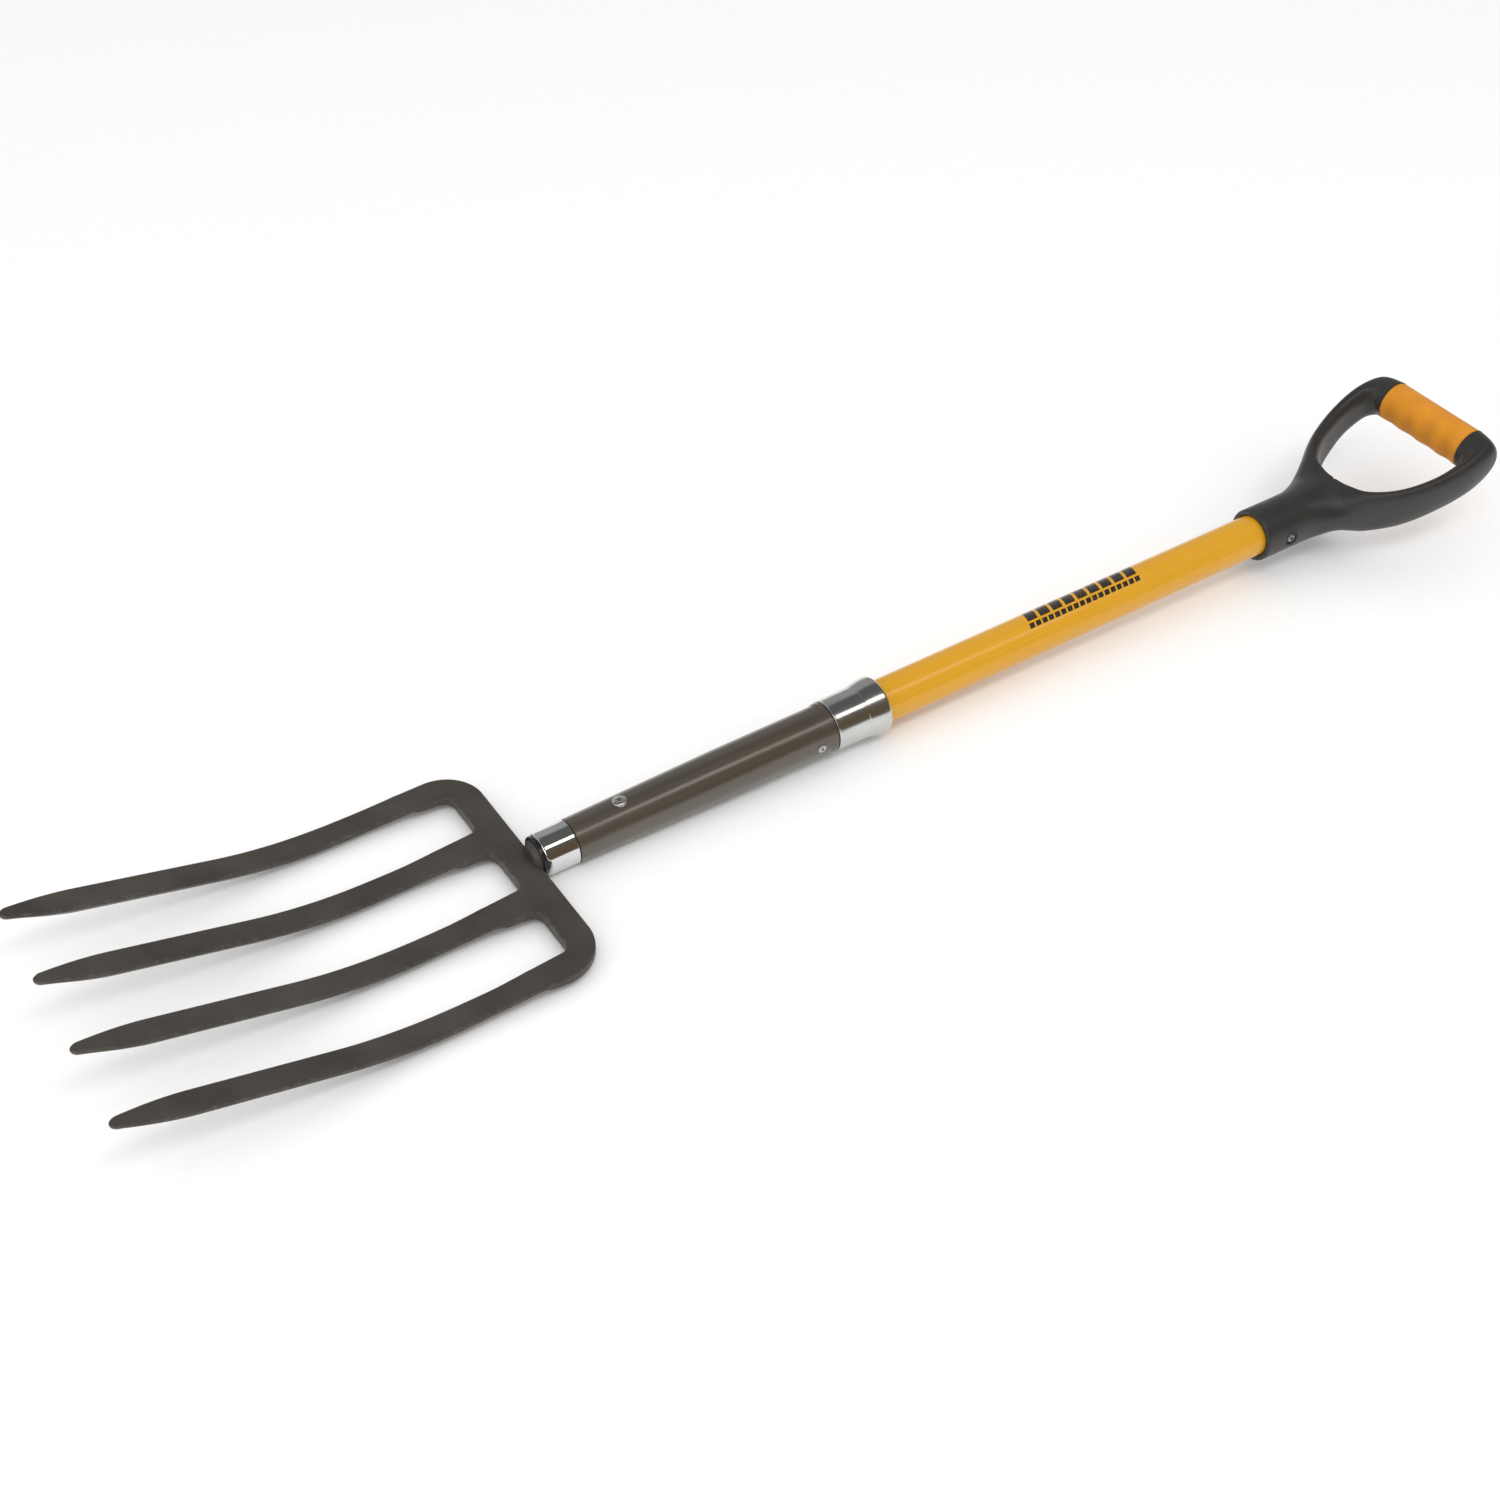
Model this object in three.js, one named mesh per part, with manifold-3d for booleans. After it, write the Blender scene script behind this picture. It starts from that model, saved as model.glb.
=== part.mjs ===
// Digging fork: a forged four-tine head on a tang, a riveted steel socket tube, a fibreglass
// shaft and a D-handle with a soft grip sleeve. Units are millimetres.
// The fork lies on its back: +X runs from the head to the handle along the shaft's axis,
// +Z points out of the front face, and the origin is the centre of the crossbar's front face.
import * as THREE from 'three';
import { mergeVertices } from 'three/addons/utils/BufferGeometryUtils.js';
import Module from 'manifold-3d';

const wasm = await Module();
wasm.setup();

// Clearances
const GAP = 0.3;
const MERGE = 0.4;

// Fork head
const TINE_PITCH = 57.6;
const TINE_WIDTH = 17.1;
const TINE_OFFSETS = [-1.5, -0.5, 0.5, 1.5];
const BAR_DEPTH = 18;
const PLATE = 9;
const BAR_EDGE = 6;
const BAR_BEVEL = 6;
const BAR_CORNER = 28;
const SLOT_HALF = 18.2;
const SLOT_FILLET = 5.5;
const ROOT_END = -60;
const ROOT_TUCK = 0.6;
const WAIST = { x: -64, narrower: 0.5, reach: 22 };
const TINE_BEND_START = -81;
const TINE_BEND_RADIUS = 286;
const TINE_BEND_ANGLE = THREE.MathUtils.degToRad(15.6);
const TINE_TIP = -282.2;
const TIP_TAPER = 44;
const TIP_HALF = 3;
const TIP_SIDE = 2.4;
const TINE_SIDE = 2.9;
const ROOT_SIDE = 4.9;
const STEP_START = -28;
const STEP_END = -38;
const STEP_DIP = { x: -39, shallower: 1.5, reach: 7 };
const RIDGE_HALF = 2.6;
const TIP_RIDGE_HALF = 1.6;
const TIP_DEPTH = 5;
const RIDGE_DEPTH = 8.8;
const HEAD_WIDTH = 3 * TINE_PITCH + TINE_WIDTH;

// Where the tines' cross-sections stand along X: over the tip's taper, the blade and the root
const TIP_STATIONS = 5;
const BLADE_STATIONS = { first: -210, last: -90, step: 12 };
const ROOT_STATIONS = [-64, -52, -44, -40, -38, -35, -32, -28, -22, -18, -15, -12];

// Tang, neck boss, ferrule and socket tube, given by their ends along X
const TANG_START = { x: BAR_DEPTH / 2 - 4, r: 8 };
const TANG_NECK = { end: 36, r: 11.3 };
const TANG_MID = { start: 42, r: 12.9 };
const TANG_END = { x: 130, r: 13.9, round: 3 };
const BOSS_START = BAR_DEPTH / 2 + GAP;
const BOSS_R = 13.2;
const BOSS_ROUND = 1.3;
const FERRULE_START = 12;
const FERRULE_END = 34;
const FERRULE_R = 14.5;
const FERRULE_WALL = 1.2;
const FERRULE_ROUND = { x: 3.6, r: 1.9 };
const FERRULE_LIP = 2.4;
const TUBE_START = FERRULE_START + FERRULE_ROUND.x;
const TUBE_TAPER_END = 142;
const TUBE_R = 16.05;
const TUBE_END = 252;
const TUBE_STEP = 6;
const LIP_R = 16.9;
const LIP_LENGTH = 3.6;
const LIP_RISE = 1.4;

// Collar over the joint of tube and shaft
const COLLAR_START = 223.8;
const COLLAR_NECK = 248.5;
const COLLAR_END = 264.3;
const COLLAR_START_R = 17.4;
const COLLAR_NECK_R = 17.9;
const COLLAR_FLARE_R = 19.8;
const COLLAR_WALL = 0.9;
const COLLAR_ROUND = 2.2;
const COLLAR_CROWN = { x: 256, r: 19.3 };

// Shaft and its cores
const SHAFT_R = 15;
const SHAFT_BORE = 11;
const SHAFT_TURNED_R = 14.3;
const SHAFT_START = 150;
const SHAFT_SHOULDER = 254;
const SHAFT_END = 652;
const CORE_R = SHAFT_BORE - GAP;
const LOWER_CORE_END = 290;
const UPPER_CORE_START = 560;

// D-handle: distances along its own line are measured from the socket's rim
const RIM_X = 595;
const SOCKET_R = 19.2;
const SOCKET_DEPTH = 60;
const HANDLE_CANT = THREE.MathUtils.degToRad(18);
const HANDLE_BEND_START = 33;
const HANDLE_BEND_LENGTH = 90;
const GRIP_AT = 177.8;
const GRIP_R = 14.85;
const GRIP_HALF = 37.4;
const GRIP_BAR_R = 11.5;

// Blind rivets: shank radius, head radius, head height and reach below the head
const TANG_RIVET = { x: 69.8, seat: 14.3, shank: 2.4, head: 4.8, rise: 1.6, reach: 9 };
const SHAFT_RIVET = { x: 210.2, seat: 15.6, shank: 1.6, head: 3.2, rise: 1.2, reach: 7.5 };
const HANDLE_RIVET = { x: 617.8, seat: 17.4, shank: 2, head: 3.4, rise: 1.3, reach: 9 };
const RECESS_R = 5.2;
const SEAT_CLEAR = 0.4;

const ROUND = 32;
const RIVET_ROUND = 16;

// Materials
const finish = (color, roughness, metalness) => ({ color, roughness, metalness });
const HEAD_STEEL = finish(0x4e4a44, 0.45, 0.6);
const TUBE_STEEL = finish(0x5c5246, 0.35, 0.5);
const CHROME = finish(0xd8d8d8, 0.08, 1);
const ZINC = finish(0xb8b6ac, 0.2, 1);
const RIVET_ALLOY = finish(0xc4c4c0, 0.3, 1);
const PIN_STEEL = finish(0x8a8a88, 0.4, 1);
const YELLOW = finish(0xdea532, 0.25, 0);
const ORANGE = finish(0xda9634, 0.6, 0);
const BLACK = finish(0x2e2d2c, 0.45, 0);
const CORE_GREY = finish(0x8f8a7c, 0.8, 0);

const fork = new THREE.Group();

function addPart(name, geometry, look) {
  const mesh = new THREE.Mesh(geometry, new THREE.MeshStandardMaterial(look));
  mesh.name = name;
  fork.add(mesh);
  return mesh;
}

// Solids: change a closed geometry to a manifold body and back, so bodies can be joined and cut

function solid(geometry) {
  const bare = geometry.clone();
  bare.deleteAttribute('normal');
  bare.deleteAttribute('uv');
  const merged = mergeVertices(bare, 1e-4);
  const index = merged.index.array;
  const keep = [];
  for (let i = 0; i < index.length; i += 3) {
    const [a, b, c] = [index[i], index[i + 1], index[i + 2]];
    if (a !== b && b !== c && a !== c) keep.push(a, b, c);
  }
  return new wasm.Manifold(new wasm.Mesh({
    numProp: 3,
    vertProperties: new Float32Array(merged.attributes.position.array),
    triVerts: new Uint32Array(keep),
  }));
}

function shell(body) {
  const mesh = body.getMesh();
  const geometry = new THREE.BufferGeometry();
  geometry.setAttribute('position', new THREE.BufferAttribute(mesh.vertProperties, 3));
  geometry.setIndex(new THREE.BufferAttribute(mesh.triVerts, 1));
  geometry.computeVertexNormals();
  return geometry;
}

const joined = (geometries) => geometries.map(solid).reduce((a, b) => a.add(b));
const cutBy = (body, geometries) => geometries.map(solid).reduce((a, b) => a.subtract(b), body);

// Turned parts: a closed [x, radius] profile spun about the X axis
function turned(profile, segments = ROUND) {
  const points = profile.map(([x, r]) => new THREE.Vector2(r, x));
  const first = points[0];
  const last = points[points.length - 1];
  if (first.x > 0 || last.x > 0) points.push(first.clone());
  return new THREE.LatheGeometry(points, segments).rotateZ(-Math.PI / 2);
}

// A quarter-round run of [x, radius] points, from angle a to b in degrees
function arc(x, r, radiusX, radiusR, a, b, steps = 5) {
  return Array.from({ length: steps + 1 }, (_, i) => {
    const angle = THREE.MathUtils.degToRad(a + ((b - a) * i) / steps);
    return [x + radiusX * Math.cos(angle), r + radiusR * Math.sin(angle)];
  });
}

// A rod through the wall at x, with its axis pointing out along +Y turned about X by angle
function radialPart(profile, x, angle, segments = RIVET_ROUND) {
  const points = profile.map(([r, out]) => new THREE.Vector2(r, out));
  if (points[0].x > 0) points.push(points[0].clone());
  return new THREE.LatheGeometry(points, segments).rotateX(angle).translate(x, 0, 0);
}

// Lofts: rings of points joined in order, with a fan over each end
function loft(rings) {
  const count = rings[0].length;
  const positions = [];
  for (const ring of rings) for (const p of ring) positions.push(p.x, p.y, p.z);
  const index = [];
  for (let i = 0; i + 1 < rings.length; i++) {
    for (let j = 0; j < count; j++) {
      const a = i * count + j;
      const b = i * count + ((j + 1) % count);
      index.push(a, b, a + count, b, b + count, a + count);
    }
  }
  const capEnd = (ring, base, flip) => {
    const centre = ring.reduce((sum, p) => sum.add(p), new THREE.Vector3()).divideScalar(count);
    const hub = positions.length / 3;
    positions.push(centre.x, centre.y, centre.z);
    for (let j = 0; j < count; j++) {
      const k = (j + 1) % count;
      index.push(hub, base + (flip ? k : j), base + (flip ? j : k));
    }
  };
  capEnd(rings[0], 0, true);
  capEnd(rings[rings.length - 1], (rings.length - 1) * count, false);
  const geometry = new THREE.BufferGeometry();
  geometry.setAttribute('position', new THREE.Float32BufferAttribute(positions, 3));
  geometry.setIndex(index);
  return outward(geometry);
}

// Turns every face over if the body encloses a negative volume
function outward(geometry) {
  const p = geometry.attributes.position;
  const index = geometry.index.array;
  const [a, b, c] = [new THREE.Vector3(), new THREE.Vector3(), new THREE.Vector3()];
  let volume = 0;
  for (let i = 0; i < index.length; i += 3) {
    a.fromBufferAttribute(p, index[i]);
    b.fromBufferAttribute(p, index[i + 1]);
    c.fromBufferAttribute(p, index[i + 2]);
    volume += a.dot(b.cross(c));
  }
  if (volume < 0) index.reverse();
  return geometry;
}

const smooth = (t) => {
  const k = THREE.MathUtils.clamp(t, 0, 1);
  return k * k * (3 - 2 * k);
};

// Fork head: the front face's height, its slope and the cross-section along each tine

function tineLine(x) {
  const arcEnd = TINE_BEND_START - TINE_BEND_RADIUS * Math.sin(TINE_BEND_ANGLE);
  const arcRise = TINE_BEND_RADIUS * (1 - Math.cos(TINE_BEND_ANGLE));
  if (x >= TINE_BEND_START) return { z: 0, slope: 0 };
  if (x >= arcEnd) {
    const slope = Math.asin((TINE_BEND_START - x) / TINE_BEND_RADIUS);
    return { z: TINE_BEND_RADIUS * (1 - Math.cos(slope)), slope };
  }
  return { z: arcRise + (arcEnd - x) * Math.tan(TINE_BEND_ANGLE), slope: TINE_BEND_ANGLE };
}

const bump = (x, centre, reach) => Math.exp(-(((x - centre) / reach) ** 2));

// A tine's half width at x, on a side that faces another tine (flared into the crossbar) or on the
// head's outer side (following the crossbar's rounded corner)
function tineHalf(x, flared) {
  const taper = THREE.MathUtils.clamp((x - TINE_TIP) / TIP_TAPER, 0, 1);
  const body = TIP_HALF + (TINE_WIDTH / 2 - TIP_HALF) * Math.sin((taper * Math.PI) / 2) ** 0.9
    - WAIST.narrower * bump(x, WAIST.x, WAIST.reach);
  if (!flared) {
    const intoCorner = Math.max(x - (BAR_DEPTH / 2 - BAR_CORNER), 0);
    return body - BAR_CORNER + Math.sqrt(BAR_CORNER ** 2 - intoCorner ** 2);
  }
  const root = TINE_PITCH / 2 - SLOT_HALF - TINE_WIDTH / 2;
  const fillet = -BAR_DEPTH / 2 - SLOT_FILLET;
  return body + root * THREE.MathUtils.clamp((x - ROOT_END) / (fillet - ROOT_END), 0, 1) ** 1.2;
}

// The height of a tine's side face: thin along the blade, dipping before a step up to the root
function tineSide(x) {
  const taper = smooth((x - TINE_TIP) / TIP_TAPER);
  return TIP_SIDE + (TINE_SIDE - TIP_SIDE) * taper
    - STEP_DIP.shallower * bump(x, STEP_DIP.x, STEP_DIP.reach)
    + (ROOT_SIDE - TINE_SIDE) * smooth((x - STEP_END) / (STEP_START - STEP_END));
}

function tineRing(x, offset) {
  const { z, slope } = tineLine(x);
  const right = tineHalf(x, offset > -1.5);
  const left = tineHalf(x, offset < 1.5);
  const taper = smooth((x - TINE_TIP) / TIP_TAPER);
  const depth = TIP_DEPTH + (RIDGE_DEPTH - TIP_DEPTH) * taper;
  const side = tineSide(x);
  const ridge = TIP_RIDGE_HALF + (RIDGE_HALF - TIP_RIDGE_HALF) * taper;
  const outline = [[-right, 0], [left, 0], [left, -side], [ridge, -depth], [-ridge, -depth], [-right, -side]];
  return outline.map(([y, down]) => new THREE.Vector3(
    x + down * Math.sin(slope),
    offset * TINE_PITCH + y,
    z + down * Math.cos(slope),
  ));
}

function tine(offset) {
  const stations = [];
  for (let i = 0; i <= TIP_STATIONS; i++) stations.push(TINE_TIP + TIP_TAPER * (i / TIP_STATIONS) ** 1.6);
  for (let x = BLADE_STATIONS.first; x <= BLADE_STATIONS.last; x += BLADE_STATIONS.step) stations.push(x);
  stations.push(TINE_BEND_START, ...ROOT_STATIONS, -BAR_DEPTH / 2 + MERGE);
  return loft(stations.map((x) => tineRing(x, offset)));
}

// The crossbar with its slots, as deep as the plate all over
function slottedPlate() {
  const front = -BAR_DEPTH / 2;
  const back = BAR_DEPTH / 2;
  const half = HEAD_WIDTH / 2;
  const root = back - BAR_CORNER;
  const outline = new THREE.Shape();
  outline.moveTo(root, -half);
  outline.absarc(back - BAR_CORNER, -half + BAR_CORNER, BAR_CORNER, -Math.PI / 2, 0, false);
  outline.lineTo(back, half - BAR_CORNER);
  outline.absarc(back - BAR_CORNER, half - BAR_CORNER, BAR_CORNER, 0, Math.PI / 2, false);
  outline.lineTo(root, half);
  for (const middle of [TINE_PITCH, 0, -TINE_PITCH]) {
    const [top, bottom] = [middle + SLOT_HALF, middle - SLOT_HALF];
    outline.lineTo(root, top + ROOT_TUCK);
    outline.lineTo(front - SLOT_FILLET, top);
    outline.absarc(front - SLOT_FILLET, top - SLOT_FILLET, SLOT_FILLET, Math.PI / 2, 0, true);
    outline.absarc(front - SLOT_FILLET, bottom + SLOT_FILLET, SLOT_FILLET, 0, -Math.PI / 2, true);
    outline.lineTo(root, bottom - ROOT_TUCK);
  }
  outline.closePath();
  const plate = new THREE.ExtrudeGeometry(outline, { depth: PLATE, bevelEnabled: false, curveSegments: 7 });
  return plate.translate(0, 0, -PLATE);
}

// The head's outer form: an upright edge round the crossbar, bevelled off towards its back face
function outerForm() {
  const centre = BAR_DEPTH / 2 - BAR_CORNER;
  const half = HEAD_WIDTH / 2;
  const corner = 8;
  const ring = (inset, z) => {
    const r = BAR_CORNER - inset;
    const quarter = (side) => Array.from({ length: corner + 1 }, (_, i) => {
      const angle = ((side > 0 ? i : corner - i) / corner) * (Math.PI / 2);
      const y = side * (half - BAR_CORNER + r * Math.sin(angle));
      return new THREE.Vector3(centre + r * Math.cos(angle), y, z);
    });
    const open = (side) => new THREE.Vector3(ROOT_END, side * (half - inset), z);
    return [...quarter(1), open(1), open(-1), ...quarter(-1)];
  };
  return loft([ring(0, MERGE), ring(0, -BAR_EDGE), ring(BAR_BEVEL, -PLATE), ring(BAR_BEVEL, -PLATE - MERGE)]);
}

const crossbar = solid(slottedPlate()).intersect(solid(outerForm()));

const tang = turned([
  [TANG_START.x, 0], [TANG_START.x, TANG_START.r], [BAR_DEPTH / 2, TANG_NECK.r],
  [TANG_NECK.end, TANG_NECK.r], [TANG_MID.start, TANG_MID.r],
  [TANG_END.x - TANG_END.round, TANG_END.r], [TANG_END.x, TANG_END.r - TANG_END.round], [TANG_END.x, 0],
]);

// The tang's front half starts behind the crossbar, so the front face stays flat and clear
const frontRelief = new THREE.BoxGeometry(BAR_DEPTH, 40, 20).translate(0, 0, 10);

// Holes for a rivet: the shank's clearance hole, plus a flat seat for its head
function rivetCutters(rivet, angle, seatRadius) {
  const shankHole = [[0, 2], [rivet.shank + GAP, 2], [rivet.shank + GAP, 40], [0, 40]];
  const seat = [[0, rivet.seat], [seatRadius, rivet.seat], [seatRadius, 40], [0, 40]];
  return [radialPart(shankHole, rivet.x, angle), radialPart(seat, rivet.x, angle)];
}

function rivetBody({ x, seat, shank, head, rise, reach }, angle) {
  const hole = shank * 0.42 + GAP;
  const base = seat + GAP;
  const dome = [0, 25, 50, 72].map((a) => {
    const t = THREE.MathUtils.degToRad(a);
    return [head * Math.cos(t), base + 0.35 + (rise - 0.35) * Math.sin(t)];
  });
  return radialPart([
    [hole, base - reach], [shank, base - reach], [shank, base], [head, base],
    ...dome, [hole, base + rise],
  ], x, angle);
}

function rivetPin({ x, seat, shank, rise, reach }, angle) {
  const r = shank * 0.42;
  const base = seat + GAP;
  return radialPart([[0, base - reach - 2], [shank, base - reach - 2], [shank, base - reach - GAP],
    [r, base - reach - GAP], [r, base + rise - 0.5], [0, base + rise - 0.5]], x, angle);
}

// Rivet directions: the front of the tube is +Z, the sides are +Y and -Y
const FRONT = Math.PI / 2;
const SIDE = 0;
const OTHER_SIDE = Math.PI;

const [tangHole] = rivetCutters(TANG_RIVET, FRONT, 0);
const headBody = joined(TINE_OFFSETS.map(tine))
  .add(crossbar)
  .add(solid(tang).subtract(solid(frontRelief)))
  .subtract(solid(tangHole));
addPart('fork_head', shell(headBody), HEAD_STEEL);

addPart('neck_boss', turned([
  [BOSS_START, TANG_NECK.r + GAP],
  ...arc(BOSS_START + BOSS_ROUND, BOSS_R - BOSS_ROUND, BOSS_ROUND, BOSS_ROUND, 180, 90),
  [FERRULE_START - GAP, BOSS_R], [FERRULE_START - GAP, TANG_NECK.r + GAP],
]), BLACK);

const capEnd = FERRULE_START + FERRULE_ROUND.x;
addPart('ferrule', turned([
  [FERRULE_START, FERRULE_R - FERRULE_LIP],
  ...arc(capEnd, FERRULE_R - FERRULE_ROUND.r, FERRULE_ROUND.x, FERRULE_ROUND.r, 180, 90),
  [FERRULE_END, FERRULE_R], [FERRULE_END, FERRULE_R - FERRULE_WALL],
  [capEnd, FERRULE_R - FERRULE_WALL],
  [FERRULE_START + FERRULE_WALL, FERRULE_R - FERRULE_LIP],
]), CHROME);

// Socket tube: narrow under the ferrule, then a long taper, a straight run and a rolled lip
const underFerrule = FERRULE_R - FERRULE_WALL - GAP;
const lipEnd = COLLAR_START - GAP;
const tubeBody = solid(turned([
  [TUBE_START, TANG_NECK.r + GAP], [TUBE_START, underFerrule],
  [FERRULE_END + GAP, underFerrule], [FERRULE_END + GAP, FERRULE_R],
  [TUBE_TAPER_END, TUBE_R], [lipEnd - LIP_LENGTH, TUBE_R], [lipEnd - LIP_LENGTH + LIP_RISE, LIP_R],
  [lipEnd, LIP_R], [lipEnd, TUBE_R], [TUBE_END, TUBE_R],
  [TUBE_END, SHAFT_TURNED_R + GAP], [TUBE_TAPER_END + TUBE_STEP, SHAFT_TURNED_R + GAP],
  [TANG_END.x + TUBE_STEP, TANG_END.r + GAP], [TANG_END.x - TANG_END.round, TANG_END.r + GAP],
  [TANG_MID.start, TANG_MID.r + GAP], [TANG_NECK.end, TANG_NECK.r + GAP],
]));
addPart('socket_tube', shell(cutBy(tubeBody, [
  ...rivetCutters(TANG_RIVET, FRONT, TANG_RIVET.head + SEAT_CLEAR),
  ...rivetCutters(SHAFT_RIVET, OTHER_SIDE, SHAFT_RIVET.head + SEAT_CLEAR),
])), TUBE_STEEL);

const shoulder = [COLLAR_END - COLLAR_ROUND, COLLAR_FLARE_R - COLLAR_ROUND];
const insideRound = COLLAR_ROUND - COLLAR_WALL;
addPart('collar', turned([
  [COLLAR_START, COLLAR_START_R], [COLLAR_NECK, COLLAR_NECK_R], [COLLAR_CROWN.x, COLLAR_CROWN.r],
  ...arc(...shoulder, COLLAR_ROUND, COLLAR_ROUND, 90, 0),
  [COLLAR_END, SHAFT_R + GAP], [COLLAR_END - COLLAR_WALL, SHAFT_R + GAP],
  ...arc(...shoulder, insideRound, insideRound, 0, 90),
  [COLLAR_CROWN.x, COLLAR_CROWN.r - COLLAR_WALL],
  [COLLAR_NECK, COLLAR_NECK_R - COLLAR_WALL], [COLLAR_START, COLLAR_START_R - COLLAR_WALL],
]), ZINC);

// Fibreglass shaft, turned down where it sits in the tube, and the cores glued in its ends
const shaftBody = solid(turned([
  [SHAFT_START, SHAFT_BORE], [SHAFT_START, SHAFT_TURNED_R], [SHAFT_SHOULDER, SHAFT_TURNED_R],
  [SHAFT_SHOULDER, SHAFT_R], [SHAFT_END, SHAFT_R], [SHAFT_END, SHAFT_BORE],
]));
const shaftHole = rivetCutters(SHAFT_RIVET, OTHER_SIDE, 0)[0];
const handleHoles = [SIDE, OTHER_SIDE].map((angle) => rivetCutters(HANDLE_RIVET, angle, 0)[0]);
addPart('shaft_tube', shell(cutBy(shaftBody, [shaftHole, ...handleHoles])), YELLOW);

const core = (from, to) => solid(turned([[from, 0], [from, CORE_R], [to, CORE_R], [to, 0]]));
addPart('lower_core', shell(cutBy(core(SHAFT_START, LOWER_CORE_END), [shaftHole])), CORE_GREY);
addPart('upper_core', shell(cutBy(core(UPPER_CORE_START, SHAFT_END), handleHoles)), CORE_GREY);

// D-handle. Each half is a loft along one arm. A station gives, in the plane of the D, the arm's
// inner point and outer point (distance along the handle, distance from its middle plane), then
// the half thickness across that plane and the width and height of the inner edge's rounding.
const ARM_STATIONS = [
  [0, -MERGE, 0, 18.2, 18.2, 0.3, 0.3],
  [1.5, -MERGE, 1.5, SOCKET_R, SOCKET_R, 0.3, 0.3],
  [28, -MERGE, 28, SOCKET_R, SOCKET_R, 0.3, 0.3],
  [48, -MERGE, 44.5, 19.8, 18.8, 0.3, 0.3],
  [72, -MERGE, 56, 23.2, 18.2, 0.5, 0.5],
  [82, -MERGE, 64, 26.5, 17.9, 4, 5],
  [84.5, 12, 71, 29.8, 17.8, 6, 7],
  [91, 25.5, 80, 34.5, 17.6, 5.5, 8],
  [109, 38.2, 102.5, 47.8, 16.4, 5.5, 8],
  [135, 46.7, 130, 57.3, 15, 6, 8.5],
  [157, 48, 160, 61.5, 15, 7, 10],
  [163.5, 43.5, 186, 56.5, GRIP_R, 11, 13],
  [GRIP_AT - GRIP_R, GRIP_HALF, GRIP_AT + GRIP_R, GRIP_HALF, GRIP_R, GRIP_R, GRIP_R],
];
const STEPS_PER_STATION = [1, 1, 2, 2, 3, 3, 2, 3, 3, 3, 3, 4];
const ARM_ROUNDNESS = 2.15;

// Catmull-Rom value between stations i and i + 1
function station(i, t) {
  const last = ARM_STATIONS.length - 1;
  const row = (k) => ARM_STATIONS[THREE.MathUtils.clamp(k, 0, last)];
  return row(i).map((p1, c) => {
    const p2 = row(i + 1)[c];
    const p0 = i > 0 ? row(i - 1)[c] : 2 * p1 - p2;
    const p3 = i + 1 < last ? row(i + 2)[c] : 2 * p2 - p1;
    return 0.5 * (2 * p1 + (p2 - p0) * t + (2 * p0 - 5 * p1 + 4 * p2 - p3) * t ** 2
      + (3 * p1 - p0 - 3 * p2 + p3) * t ** 3);
  });
}

// Places a point at distance p along the handle, q to the side and h above its plane
function onHandle(p, q, h) {
  const radius = HANDLE_BEND_LENGTH / HANDLE_CANT;
  const into = THREE.MathUtils.clamp((p - HANDLE_BEND_START) / HANDLE_BEND_LENGTH, 0, 1);
  const angle = into * HANDLE_CANT;
  const before = Math.min(p, HANDLE_BEND_START);
  const after = Math.max(p - HANDLE_BEND_START - HANDLE_BEND_LENGTH, 0);
  const x = before + radius * Math.sin(angle) + after * Math.cos(HANDLE_CANT);
  const z = radius * (1 - Math.cos(angle)) + after * Math.sin(HANDLE_CANT);
  return new THREE.Vector3(RIM_X + x - h * Math.sin(angle), q, z + h * Math.cos(angle));
}

function armRing([innerP, innerQ, outerP, outerQ, half, roundWidth, roundHeight]) {
  const width = Math.hypot(outerP - innerP, outerQ - innerQ);
  const power = 2 / ARM_ROUNDNESS;
  const outline = [];
  const outerSteps = 12;
  for (let k = 0; k <= outerSteps; k++) {
    const t = Math.PI * (0.5 - k / outerSteps);
    const [c, s] = [Math.max(Math.cos(t), 0), Math.sin(t)];
    outline.push([roundWidth + (width - roundWidth) * c ** power, half * Math.sign(s) * Math.abs(s) ** power]);
  }
  for (const side of [-1, 1]) {
    for (const step of side < 0 ? [1, 2, 3] : [3, 2, 1]) {
      const t = (step * Math.PI) / 6;
      const up = half - roundHeight + roundHeight * Math.cos(t);
      outline.push([roundWidth * (1 - Math.sin(t)), side * up]);
    }
  }
  return outline.map(([d, h]) => {
    const k = d / width;
    return onHandle(innerP + (outerP - innerP) * k, innerQ + (outerQ - innerQ) * k, h);
  });
}

function armHalf(mirror) {
  const rings = [];
  STEPS_PER_STATION.forEach((steps, i) => {
    for (let k = 0; k < steps; k++) rings.push(armRing(station(i, k / steps)));
  });
  rings.push(armRing(ARM_STATIONS[ARM_STATIONS.length - 1]));
  for (const ring of rings) for (const p of ring) p.y *= mirror;
  return loft(rings);
}

const gripCentre = onHandle(GRIP_AT, 0, 0);

// A round part centred on the grip's axis, from a closed [y, radius] profile
function gripPart(profile) {
  const points = profile.map(([y, r]) => new THREE.Vector2(r, y));
  if (points[0].x > 0) points.push(points[0].clone());
  return new THREE.LatheGeometry(points, ROUND).translate(gripCentre.x, 0, gripCentre.z);
}

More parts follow.
